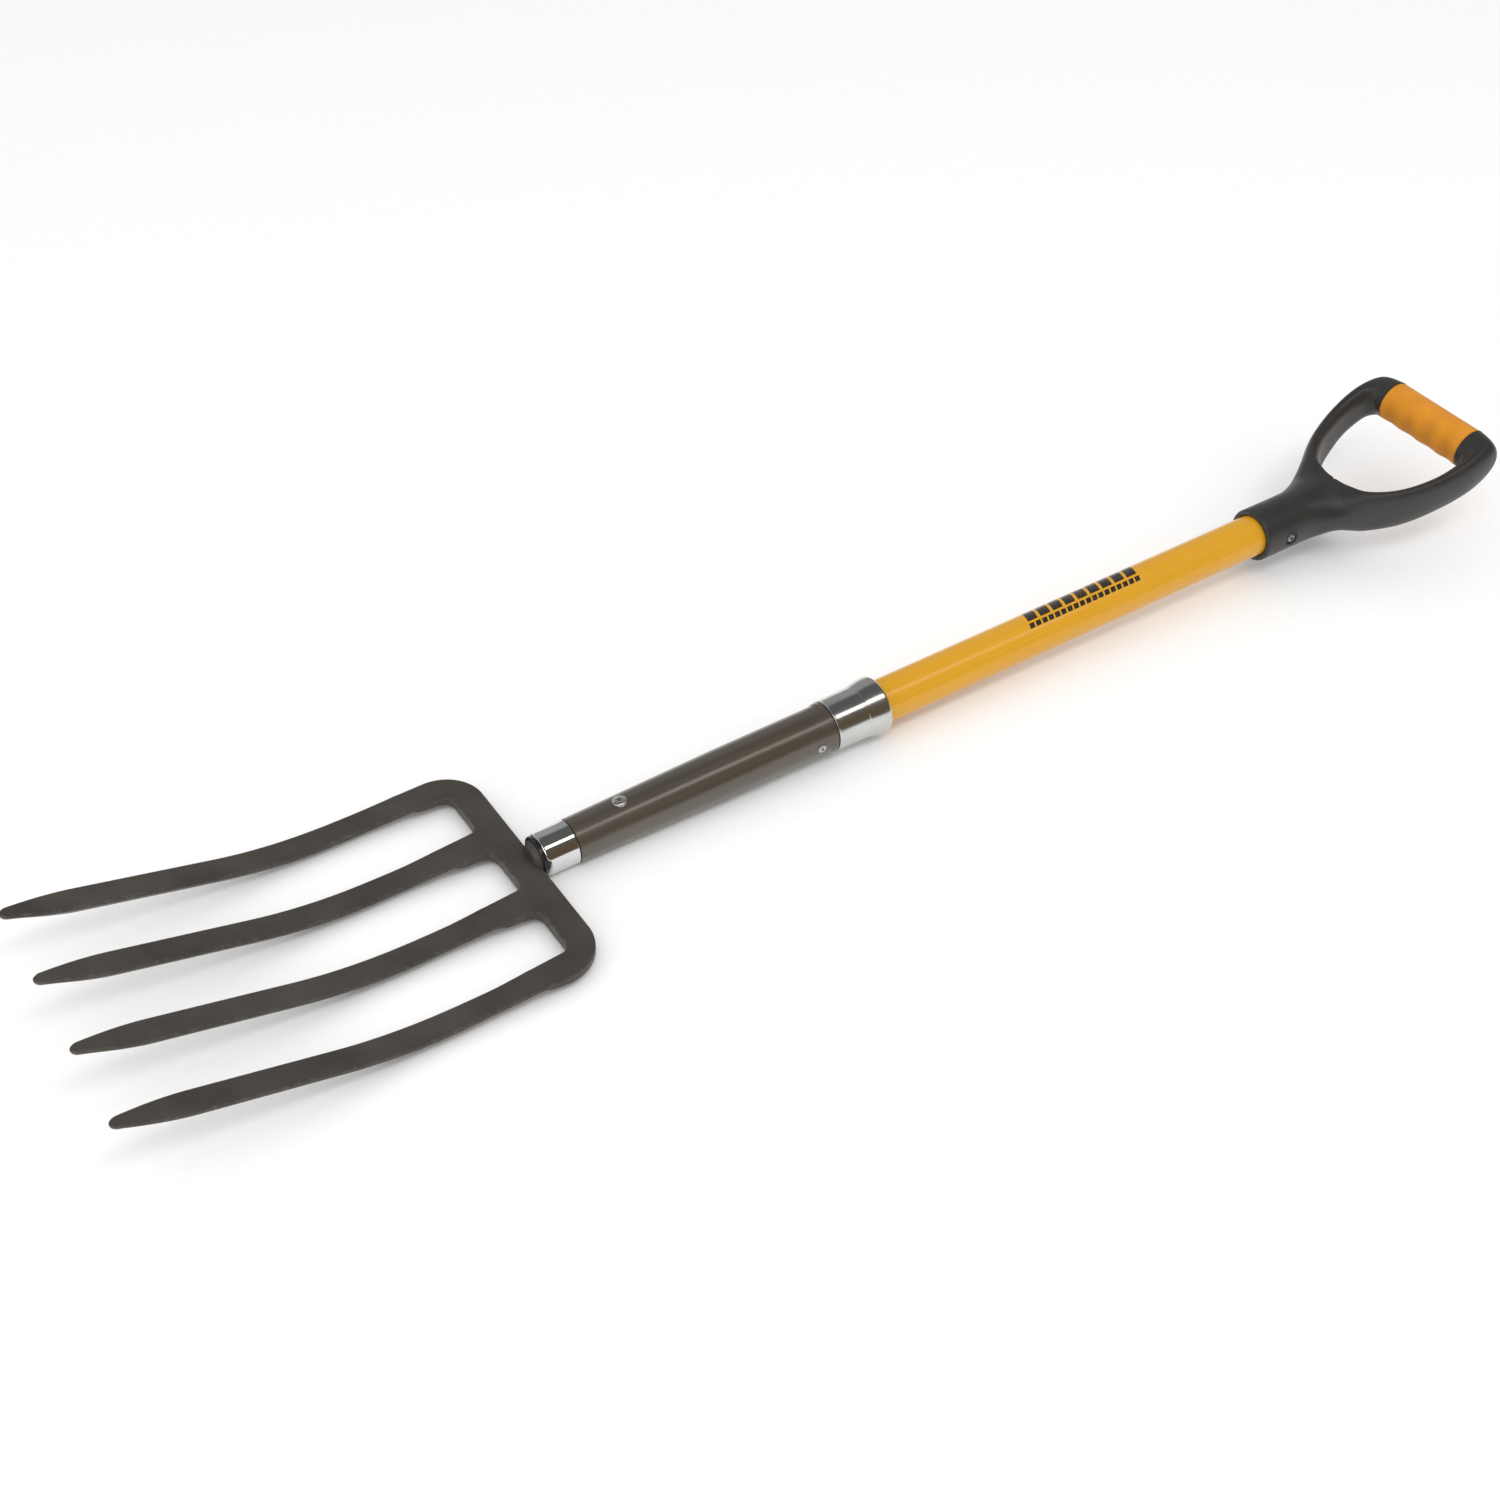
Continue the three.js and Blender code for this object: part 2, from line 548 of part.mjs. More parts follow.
const barEnd = GRIP_HALF + 8;
const gripBar = gripPart([[-barEnd, 0], [-barEnd, GRIP_BAR_R], [barEnd, GRIP_BAR_R], [barEnd, 0]]);
const socketBore = turned([
  [RIM_X - 5, 0], [RIM_X - 5, SHAFT_R + GAP], [RIM_X + SOCKET_DEPTH, SHAFT_R + GAP], [RIM_X + SOCKET_DEPTH, 0],
]);
const handleCutters = [SIDE, OTHER_SIDE].flatMap((angle) => rivetCutters(HANDLE_RIVET, angle, RECESS_R));
const handleBody = joined([armHalf(1), armHalf(-1), gripBar]);
addPart('d_handle', shell(cutBy(handleBody, [socketBore, ...handleCutters])), BLACK);

const sleeveEnd = GRIP_HALF - GAP;
addPart('grip_sleeve', gripPart([
  [-sleeveEnd, GRIP_BAR_R + GAP], [-sleeveEnd, GRIP_R], [sleeveEnd, GRIP_R], [sleeveEnd, GRIP_BAR_R + GAP],
]), ORANGE);

// Rivets, each with the stub of its pin
const RIVETS = [
  ['tang_rivet', TANG_RIVET, FRONT],
  ['shaft_rivet', SHAFT_RIVET, OTHER_SIDE],
  ['handle_rivet_left', HANDLE_RIVET, OTHER_SIDE],
  ['handle_rivet_right', HANDLE_RIVET, SIDE],
];
for (const [name, rivet, angle] of RIVETS) {
  addPart(name, rivetBody(rivet, angle), RIVET_ALLOY);
  addPart(`${name}_pin`, rivetPin(rivet, angle), PIN_STEEL);
}

export default fork;
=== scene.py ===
"""A digging fork lying on its back: its visible pieces, their finishes, the light and the camera.

Lengths are in millimetres until a mesh is made. +X runs along the shaft from the head to the
handle, +Y across the head, and +Z out of the fork's front face.
"""

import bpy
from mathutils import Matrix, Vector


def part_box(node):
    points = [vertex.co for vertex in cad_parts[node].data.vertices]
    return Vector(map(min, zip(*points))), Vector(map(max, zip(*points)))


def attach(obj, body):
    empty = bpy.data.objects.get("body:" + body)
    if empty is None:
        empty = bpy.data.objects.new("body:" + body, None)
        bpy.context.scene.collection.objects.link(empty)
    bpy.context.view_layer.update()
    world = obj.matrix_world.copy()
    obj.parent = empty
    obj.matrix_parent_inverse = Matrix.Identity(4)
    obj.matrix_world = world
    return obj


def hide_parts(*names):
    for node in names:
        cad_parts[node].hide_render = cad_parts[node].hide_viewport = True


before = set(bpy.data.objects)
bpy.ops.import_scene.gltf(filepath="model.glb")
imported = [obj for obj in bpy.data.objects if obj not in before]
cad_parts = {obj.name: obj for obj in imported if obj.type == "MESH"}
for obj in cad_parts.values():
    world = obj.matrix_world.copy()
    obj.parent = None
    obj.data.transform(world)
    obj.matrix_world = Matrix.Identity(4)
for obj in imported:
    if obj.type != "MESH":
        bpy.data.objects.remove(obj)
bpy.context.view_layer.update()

import logging
import math
from dataclasses import dataclass, field
from enum import Enum
from typing import Sequence

import bmesh
import bpy
import numpy as np
from mathutils import Vector
from numpy.typing import NDArray

Array = NDArray[np.float64]
Colour = tuple[float, float, float]
Socket = bpy.types.NodeSocket

MM = 0.001
BODY = "root"
log = logging.getLogger("digging_fork")


# ---------------------------------------------------------------- shapes


def node_box(node: str) -> tuple[Array, Array]:
    """The lowest and highest corner of a frame node, in millimetres."""
    low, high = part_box(node)
    return np.array(low) / MM, np.array(high) / MM


def smoothstep(t: Array | float) -> Array:
    """3t^2 - 2t^3 with t held between 0 and 1: an S-curve from 0 to 1."""
    k = np.clip(t, 0.0, 1.0)
    return k * k * (3.0 - 2.0 * k)


def middle_x(node: str) -> float:
    """The middle of a frame node along X, in millimetres."""
    low, high = node_box(node)
    return float(low[0] + high[0]) / 2


def arc(
    x: float, r: float, radius_x: float, radius_r: float, start: float, end: float, steps: int = 6,
) -> Array:
    """Points on part of an ellipse: centre + (radius_x cos a, radius_r sin a).

    Args:
        x, r: the centre, as distance along the axis and from it.
        radius_x, radius_r: the half axes.
        start, end: the first and last angle, in degrees.
        steps: how many spans the run has.

    Returns:
        An array of [x, r] rows.
    """
    angle = np.radians(np.linspace(start, end, steps + 1))
    return np.stack([x + radius_x * np.cos(angle), r + radius_r * np.sin(angle)], axis=1)


def span(start: Sequence[float], end: Sequence[float], steps: int) -> Array:
    """Evenly spaced points on the straight line from start to end, both included."""
    t = np.linspace(0.0, 1.0, steps + 1)[:, None]
    return np.asarray(start, float) * (1.0 - t) + np.asarray(end, float) * t


def grid_quads(
    rows: int, columns: int, close_rows: bool = False, close_columns: bool = False,
) -> NDArray[np.int64]:
    """Four corners for each cell of a grid whose points are stored row by row.

    Args:
        rows, columns: the size of the grid of points.
        close_rows: whether the last row is joined to the first.
        close_columns: whether the last column is joined to the first.

    Returns:
        An array of four point numbers for each cell.
    """
    i = np.arange(rows if close_rows else rows - 1)[:, None]
    j = np.arange(columns if close_columns else columns - 1)[None, :]
    below, right = (i + 1) % rows, (j + 1) % columns
    corners = [i * columns + j, i * columns + right, below * columns + right, below * columns + j]
    return np.stack([np.broadcast_to(c, (i.size, j.size)) for c in corners], axis=-1).reshape(-1, 4)


def catmull_rom(rows: Array, before: Array, after: Array, steps: Sequence[int]) -> Array:
    """A smooth run through rows of values.

    Between rows b and c, with a before and d after, the value at t is
    (2b + (c - a)t + (2a - 5b + 4c - d)t^2 + (3b - a - 3c + d)t^3) / 2.

    Args:
        rows: the values to pass through, one row each.
        before, after: the unseen rows that set the end slopes.
        steps: how many parts each span is cut into.

    Returns:
        All values, the last row included.
    """
    padded = np.vstack([before, rows, after])
    runs = []
    for k, count in enumerate(steps):
        t = np.linspace(0.0, 1.0, count, endpoint=False)[:, None]
        a, b, c, d = padded[k:k + 4]
        bend, twist = 2 * a - 5 * b + 4 * c - d, 3 * b - a - 3 * c + d
        runs.append(0.5 * (2 * b + (c - a) * t + bend * t**2 + twist * t**3))
    return np.vstack(runs + [rows[-1:]])


@dataclass
class Shape:
    """Points and faces on their way to becoming a mesh.

    Attributes:
        points: one [x, y, z] row for each point, in millimetres.
        faces: point numbers of each face.
        marks: values for each point, stored on the mesh under their name for the finishes to read.
    """

    points: Array
    faces: list[Sequence[int]]
    marks: dict[str, Array] = field(default_factory=dict)

    @classmethod
    def grid(cls, points: Array, close_rows: bool = False, close_columns: bool = False) -> "Shape":
        """A shape from a grid of points.

        Args:
            points: the grid, with the shape (rows, columns, 3).
            close_rows: whether the last row is joined to the first.
            close_columns: whether the last column is joined to the first.

        Returns:
            The shape, with a face for each cell.
        """
        rows, columns = points.shape[:2]
        return cls(points.reshape(-1, 3), grid_quads(rows, columns, close_rows, close_columns).tolist())

    def joined(self, other: "Shape") -> "Shape":
        """This shape and another as one.

        Args:
            other: the shape to add, with at least this one's marks.

        Returns:
            Both shapes' points, faces and marks.
        """
        shift = len(self.points)
        moved = [[n + shift for n in face] for face in other.faces]
        marks = {name: np.concatenate([values, other.marks[name]]) for name, values in self.marks.items()}
        return Shape(np.vstack([self.points, other.points]), self.faces + moved, marks)

    def mirrored(self) -> "Shape":
        """The same shape on the other side of the fork's middle plane."""
        flipped = [list(face)[::-1] for face in self.faces]
        return Shape(self.points * [1.0, -1.0, 1.0], flipped, dict(self.marks))

    def without_middle_faces(self) -> "Shape":
        """Leaves out faces that lie wholly in the middle plane, where two halves meet.

        Returns:
            The same points, with the remaining faces.
        """
        in_plane = np.abs(self.points[:, 1]) < 1e-6
        kept = [face for face in self.faces if not all(in_plane[list(face)])]
        return Shape(self.points, kept, self.marks)


def turned(profile: Array, segments: int = 128) -> Shape:
    """A closed profile turned about the X axis: (x, r) becomes (x, r cos a, r sin a).

    Args:
        profile: [x, r] rows round the section, or from axis to axis.
        segments: how many points go round.

    Returns:
        The turned shape, closed.
    """
    angle = np.linspace(0.0, 2.0 * math.pi, segments, endpoint=False)[None, :]
    x, r = profile[:, :1], profile[:, 1:]
    points = np.stack([x + 0.0 * angle, r * np.cos(angle), r * np.sin(angle)], axis=-1)
    closes_on_itself = bool(profile[0, 1] > 0.0)
    return Shape.grid(points, close_rows=closes_on_itself, close_columns=True)


def make_piece(
    name: str, shape: Shape, material: bpy.types.Material, node: str, sharp: float = 32.0,
) -> bpy.types.Object:
    """Makes a mesh object that stands for a frame node and rides on the fork's body.

    Args:
        name: the object's name.
        shape: what to build. Points that coincide are joined.
        material: its finish.
        node: the frame node that it replaces.
        sharp: edges that turn by more than this many degrees stay crisp.

    Returns:
        The finished object.
    """
    mesh = bpy.data.meshes.new(name)
    mesh.from_pydata((shape.points * MM).tolist(), [], shape.faces)
    for mark, values in shape.marks.items():
        mesh.attributes.new(mark, "FLOAT", "POINT").data.foreach_set("value", values.astype(np.float32))
    body = bmesh.new()
    body.from_mesh(mesh)
    bmesh.ops.remove_doubles(body, verts=body.verts, dist=2e-6)
    bmesh.ops.dissolve_degenerate(body, dist=1e-7, edges=body.edges)
    bmesh.ops.recalc_face_normals(body, faces=body.faces)
    body.to_mesh(mesh)
    body.free()
    mesh.polygons.foreach_set("use_smooth", np.ones(len(mesh.polygons), dtype=bool))
    mesh.set_sharp_from_angle(angle=math.radians(sharp))
    mesh.materials.append(material)
    piece = bpy.data.objects.new(name, mesh)
    bpy.context.scene.collection.objects.link(piece)
    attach(piece, BODY)
    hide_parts(node)
    log.info("%s: %d points, %d faces", name, len(mesh.vertices), len(mesh.polygons))
    return piece


# ---------------------------------------------------------------- finishes


class Shader:
    """A material being built round one Principled shader."""

    def __init__(self, name: str, colour: Colour, roughness: float, metallic: float = 0.0) -> None:
        """Starts the material with its plain values.

        Args:
            name: the material's name.
            colour, roughness, metallic: its values before any pattern is linked to them.
        """
        self.material = bpy.data.materials.new(name)
        self.material.use_nodes = True
        self.tree = self.material.node_tree
        self.surface = self.tree.nodes["Principled BSDF"]
        self.set("Base Color", (*colour, 1.0))
        self.set("Roughness", roughness)
        self.set("Metallic", metallic)

    def set(self, socket: str, value: float | tuple[float, ...]) -> None:
        """Sets one of the shader's own sockets."""
        self.surface.inputs[socket].default_value = value

    def node(self, kind: str, **inputs: float | Socket | tuple[float, ...]) -> bpy.types.Node:
        """Adds a node and fills its inputs.

        Args:
            kind: the node's type.
            inputs: a value or a link for each named input, with _ for a space.

        Returns:
            The new node.
        """
        made = self.tree.nodes.new(kind)
        for name, value in inputs.items():
            self.feed(made.inputs[name.replace("_", " ")], value)
        return made

    def feed(self, target: Socket, value: float | Socket | tuple[float, ...]) -> None:
        """Links a socket to an input or stores a value in it.

        Args:
            target: the input.
            value: the socket or the value.
        """
        if isinstance(value, bpy.types.NodeSocket):
            self.tree.links.new(value, target)
        else:
            target.default_value = value

    def drive(self, socket: str, value: Socket) -> None:
        """Links a pattern to one of the shader's sockets."""
        self.feed(self.surface.inputs[socket], value)

    def place(self, scale: Sequence[float] = (1.0, 1.0, 1.0)) -> Socket:
        """Object coordinates, stretched along the axes."""
        coordinates = self.node("ShaderNodeTexCoord").outputs["Object"]
        return self.node("ShaderNodeMapping", Vector=coordinates, Scale=tuple(scale)).outputs["Vector"]

    def noise(
        self, per_metre: float, detail: float = 3.0, stretch: Sequence[float] = (1.0, 1.0, 1.0),
    ) -> Socket:
        """Soft noise with the given number of lumps to the metre."""
        made = self.node("ShaderNodeTexNoise", Vector=self.place(stretch), Scale=per_metre, Detail=detail)
        return made.outputs["Fac"]

    def between(
        self, value: Socket, low: float, high: float, to_low: float = 0.0, to_high: float = 1.0,
    ) -> Socket:
        """Maps a value from one range to another and holds it inside.

        Args:
            value: the pattern to map.
            low, high: the range that it comes from.
            to_low, to_high: the range that it goes to.

        Returns:
            The mapped value.
        """
        made = self.node("ShaderNodeMapRange", Value=value)
        for name, number in (("From Min", low), ("From Max", high), ("To Min", to_low), ("To Max", to_high)):
            made.inputs[name].default_value = number
        return made.outputs["Result"]

    def math(self, operation: str, a: float | Socket, b: float | Socket = 0.0) -> Socket:
        """One arithmetic step.

        Args:
            operation: the Math node's operation.
            a, b: its numbers. Some operations leave b out.

        Returns:
            The result.
        """
        made = self.tree.nodes.new("ShaderNodeMath")
        made.operation = operation
        self.feed(made.inputs[0], a)
        self.feed(made.inputs[1], b)
        return made.outputs[0]

    def mix(self, amount: float | Socket, a: Colour | Socket, b: Colour | Socket) -> Socket:
        """A colour between two others.

        Args:
            amount: 0 for a, 1 for b.
            a, b: the two colours.

        Returns:
            The mixed colour.
        """
        made = self.tree.nodes.new("ShaderNodeMix")
        made.data_type = "RGBA"
        self.feed(made.inputs["Factor"], amount)
        for socket, value in ((made.inputs[6], a), (made.inputs[7], b)):
            self.feed(socket, value if isinstance(value, bpy.types.NodeSocket) else (*value, 1.0))
        return made.outputs[2]

    def mark(self, name: str) -> Socket:
        """Reads a value stored on the mesh's points.

        Args:
            name: the mark's name in the shape.

        Returns:
            The value.
        """
        made = self.tree.nodes.new("ShaderNodeAttribute")
        made.attribute_name = name
        return made.outputs["Fac"]

    def bumps(self, *layers: tuple[Socket, float]) -> None:
        """Stacks bump layers and links them to the shader.

        Args:
            layers: for each layer its height pattern and its full height in millimetres.
        """
        normal: Socket | None = None
        for height, tall in layers:
            made = self.node("ShaderNodeBump", Height=height, Strength=1.0, Distance=tall * MM)
            if normal is not None:
                self.feed(made.inputs["Normal"], normal)
            normal = made.outputs["Normal"]
        self.drive("Normal", normal)


def shade(colour: Colour, factor: float) -> Colour:
    """A colour made lighter or darker by a factor."""
    return tuple(min(channel * factor, 1.0) for channel in colour)


@dataclass(frozen=True)
class ForgedCoating:
    """Dark baked coating on forged steel: mottled, with lighter rounded edges, a painted edge highlight
    broken up like worn bare metal.
    """

    colour: Colour = (0.065, 0.0550, 0.0455)
    bare: Colour = (0.15, 0.14, 0.12)
    rust: Colour = (0.088, 0.068, 0.050)
    roughness: float = 0.46

    def material(self) -> bpy.types.Material:
        """Builds the finish. Painted edge highlight and wear = the mesh's edge mark times noise, mixing in
        the bare colour.

        Returns:
            The material.
        """
        s = Shader("forged_coating", self.colour, self.roughness, metallic=0.2)
        s.set("Specular IOR Level", 0.4)
        cloud, scale, speck = s.noise(30.0, 5.0), s.noise(420.0, 3.0), s.noise(1800.0, 2.0)
        tone = s.mix(s.between(cloud, 0.35, 0.68), shade(self.colour, 0.82), shade(self.colour, 1.18))
        tone = s.mix(s.between(scale, 0.58, 0.74, 0.0, 0.3), tone, self.rust)
        tone = s.mix(s.between(speck, 0.70, 0.76, 0.0, 0.45), tone, self.bare)
        grain = s.noise(300.0, 5.0)
        # Painted edge highlight: the rounded edges are lightened towards the bare colour, broken up by noise
        # like wear.
        edge_highlight_and_wear = s.math("MULTIPLY", s.mark("edge"), s.between(grain, 0.47, 0.70))
        tone = s.mix(s.math("MULTIPLY", edge_highlight_and_wear, 0.4), tone, self.bare)
        s.drive("Base Color", tone)
        s.drive("Roughness", s.between(scale, 0.3, 0.7, self.roughness - 0.06, self.roughness + 0.08))
        s.bumps((s.noise(60.0, 2.0), 0.05), (scale, 0.02), (speck, 0.008))
        return s.material


@dataclass(frozen=True)
class MetallicPaint:
    """Brown metallic lacquer on a drawn tube: streaks along it and fine flakes under a coat."""

    colour: Colour = (0.096, 0.079, 0.057)
    flakes: Colour = (0.18, 0.145, 0.10)
    dusk: Colour = (0.086, 0.078, 0.067)
    roughness: float = 0.33

    def material(self) -> bpy.types.Material:
        """Builds the finish, with streaks stretched along X.

        Returns:
            The material.
        """
        s = Shader("metallic_brown_paint", self.colour, self.roughness, metallic=0.4)
        s.set("Coat Weight", 0.6)
        s.set("Coat Roughness", 0.13)
        streak = s.noise(260.0, 4.0, (0.03, 1.0, 1.0))
        flake = s.noise(3200.0, 1.0)
        cloud = s.noise(28.0, 3.0)
        tone = s.mix(s.between(streak, 0.35, 0.65), shade(self.colour, 0.9), shade(self.colour, 1.1))
        tone = s.mix(s.between(flake, 0.58, 0.75, 0.0, 0.35), tone, self.flakes)
        tone = s.mix(s.between(cloud, 0.4, 0.7, 0.0, 0.35), tone, self.dusk)
        s.drive("Base Color", tone)
        s.drive("Roughness", s.between(streak, 0.3, 0.7, self.roughness - 0.05, self.roughness + 0.07))
        s.bumps((streak, 0.012), (s.noise(500.0, 2.0), 0.012))
        return s.material


@dataclass(frozen=True)
class Plating:
    """Bright plated metal, with faint turning marks round X and a little haze.

    Attributes:
        haze: how much rougher the dull patches are.
        turning: the height of the turning marks, in millimetres.
        tint: the colour of the dull patches, a darker shade of the metal where none is given.
    """

    name: str
    colour: Colour
    roughness: float
    haze: float = 0.04
    turning: float = 0.004
    tint: Colour | None = None

    def material(self) -> bpy.types.Material:
        """Builds the finish, with turning marks packed close along X.

        Returns:
            The material.
        """
        s = Shader(self.name, self.colour, self.roughness, metallic=1.0)
        rings = s.noise(900.0, 2.0, (1.0, 0.06, 0.06))
        cloud = s.noise(60.0, 3.0)
        s.drive("Roughness", s.between(cloud, 0.35, 0.7, self.roughness, self.roughness + self.haze))
        tint = self.tint or shade(self.colour, 0.92)
        s.drive("Base Color", s.mix(s.between(cloud, 0.4, 0.65), self.colour, tint))
        s.bumps((rings, self.turning))
        return s.material


@dataclass(frozen=True)
class StripePrint:
    """A plain row of slanted bars over a broken rule, printed on the shaft.

    Attributes:
        start, end: where the row begins and ends along X.
        turn: the angle of its middle from +Z towards +Y, in degrees.
        tall: the height of the bars round the shaft.
        pitch: the distance from one bar to the next.
        slant: how far a bar leans along X for each millimetre round the shaft.
        bar_share: the part of a pitch that a bar covers.
        rule, rule_gap: the height of the broken rule, and the gap between it and the bars.
        rule_pitch, rule_share: the distance from one dash of it to the next, and a dash's part of it.
    """

    start: float = 390.0
    end: float = 487.0
    turn: float = 17.0
    tall: float = 12.6
    pitch: float = 10.9
    slant: float = 0.3
    bar_share: float = 0.78
    rule: float = 4.0
    rule_gap: float = 1.8
    rule_pitch: float = 5.45
    rule_share: float = 0.76


@dataclass(frozen=True)
class GlossFibreglass:
    """Golden-yellow gloss over drawn glass fibres, with a plain printed band."""

    colour: Colour = (0.655, 0.322, 0.013)
    deep: Colour = (0.620, 0.296, 0.012)
    ink: Colour = (0.018, 0.016, 0.013)
    roughness: float = 0.27
    printed: StripePrint = StripePrint()

    def inked(self, s: Shader, radius: float) -> Socket:
        """The printed area: 1 inside a bar or the rule, 0 outside.

        Round the shaft, v = radius * atan2(y, z) from the print's middle. A bar covers the first
        share of each pitch of x - slant * v, and the broken rule is a band at a lower v.

        Args:
            s: the material being built.
            radius: the shaft's radius.

        Returns:
            The mask.
        """
        p = self.printed
        axes = s.node("ShaderNodeSeparateXYZ", Vector=s.place((1000.0,) * 3))
        x, y, z = (axes.outputs[k] for k in "XYZ")
        v = s.math("MULTIPLY", s.math("ARCTAN2", y, z), radius)
        v = s.math("SUBTRACT", v, radius * math.radians(p.turn))
        lean = s.math("SUBTRACT", s.math("SUBTRACT", x, s.math("MULTIPLY", v, p.slant)), p.start)
        low = -p.tall / 2 - p.rule_gap
        bars = self.dashes(s, lean, p.pitch, p.bar_share)
        bars = s.math("MULTIPLY", bars, self.within(s, v, -p.tall / 2, p.tall / 2))
        rule = self.dashes(s, lean, p.rule_pitch, p.rule_share)
        rule = s.math("MULTIPLY", rule, self.within(s, v, low - p.rule, low))
        return s.math("MULTIPLY", s.math("MAXIMUM", bars, rule), self.within(s, lean, 0.0, p.end - p.start))

    @staticmethod
    def dashes(s: Shader, along: Socket, pitch: float, share: float) -> Socket:
        """1 over the first share of each pitch, by the fractional part of along / pitch."""
        return s.math("LESS_THAN", s.math("FRACT", s.math("DIVIDE", along, pitch)), share)

    @staticmethod
    def within(s: Shader, value: Socket, low: float, high: float) -> Socket:
        """1 where low < value < high."""
        return s.math("MULTIPLY", s.math("GREATER_THAN", value, low), s.math("LESS_THAN", value, high))

    def material(self, radius: float) -> bpy.types.Material:
        """Builds the finish.

        Args:
            radius: the shaft's radius, which the print goes round.

        Returns:
            The material.
        """
        s = Shader("yellow_fibreglass", self.colour, self.roughness)
        s.set("Specular IOR Level", 0.3)
        s.set("Coat Weight", 0.35)
        s.set("Coat Roughness", 0.12)
        fibre = s.noise(900.0, 3.0, (0.012, 1.0, 1.0))
        cloud = s.noise(30.0, 2.0)
        tone = s.mix(s.between(fibre, 0.35, 0.65), shade(self.colour, 0.98), shade(self.colour, 1.02))
        tone = s.mix(s.between(cloud, 0.4, 0.7, 0.0, 0.35), tone, self.deep)
        ink = self.inked(s, radius)
        worn = s.math("MULTIPLY", ink, s.between(s.noise(2400.0, 2.0), 0.30, 0.36))
        s.drive("Base Color", s.mix(worn, tone, self.ink))
        s.drive("Roughness", s.between(fibre, 0.3, 0.7, self.roughness - 0.03, self.roughness + 0.05))
        s.bumps((fibre, 0.004), (ink, 0.01))
        return s.material


@dataclass(frozen=True)
class GrainedPlastic:
    """Black moulded plastic with a fine spark-eroded grain, glossier where hands rub it."""

    name: str = "black_handle_plastic"
    colour: Colour = (0.028, 0.0268, 0.0250)
    roughness: float = 0.42
    grain: float = 0.03

    def material(self) -> bpy.types.Material:
        """Builds the finish.

        Returns:
            The material.
        """
        s = Shader(self.name, self.colour, self.roughness)
        s.set("Specular IOR Level", 0.5)
        fine, cloud = s.noise(2600.0, 3.0), s.noise(40.0, 3.0)
        scuff = s.noise(180.0, 6.0, (0.3, 1.0, 1.0))
        tone = s.mix(s.between(cloud, 0.38, 0.66), shade(self.colour, 0.9), shade(self.colour, 1.12))
        tone = s.mix(s.between(scuff, 0.64, 0.74, 0.0, 0.25), tone, shade(self.colour, 1.9))
        s.drive("Base Color", tone)
        s.drive("Roughness", s.between(cloud, 0.35, 0.7, self.roughness - 0.06, self.roughness + 0.07))
        s.bumps((s.noise(110.0, 2.0), 0.03), (fine, self.grain))
        return s.material


@dataclass(frozen=True)
class SoftTouch:
    """Orange rubbery skin: matt, slightly velvety and finely pitted."""

    colour: Colour = (0.655, 0.252, 0.012)
    hollows: Colour = (0.46, 0.165, 0.014)
    roughness: float = 0.62

    def material(self) -> bpy.types.Material:
        """Builds the finish, duller and darker in the finger hollows from painted shade.

        Returns:
            The material.
        """
        s = Shader("orange_soft_grip", self.colour, self.roughness)
        s.set("Specular IOR Level", 0.25)
        s.set("Sheen Weight", 0.05)
        s.set("Sheen Roughness", 0.5)
        cloud, fine = s.noise(70.0, 3.0), s.noise(1900.0, 3.0)
        tone = s.mix(s.between(cloud, 0.36, 0.68), shade(self.colour, 0.93), shade(self.colour, 1.05))
        # Painted shade: the hollow mark darkens the finger hollows towards the hollows colour.
        tone = s.mix(s.math("MULTIPLY", s.mark("hollow"), 0.55), tone, self.hollows)
        s.drive("Base Color", tone)
        s.drive("Roughness", s.between(fine, 0.3, 0.7, self.roughness - 0.05, self.roughness + 0.08))
        s.bumps((cloud, 0.06), (fine, 0.035))
        return s.material


@dataclass(frozen=True)
class DullCore:
    """Pale filler with a coarse grain along X, for the cores inside the shaft."""

    colour: Colour = (0.30, 0.27, 0.22)

    def material(self) -> bpy.types.Material:
        """Builds the finish.

        Returns:
            The material.
        """
        s = Shader("core_filler", self.colour, 0.8)
        grain = s.noise(300.0, 4.0, (0.1, 1.0, 1.0))
        s.drive("Base Color", s.mix(grain, shade(self.colour, 0.75), shade(self.colour, 1.2)))
        s.bumps((grain, 0.1))
        return s.material


# ---------------------------------------------------------------- the forged head


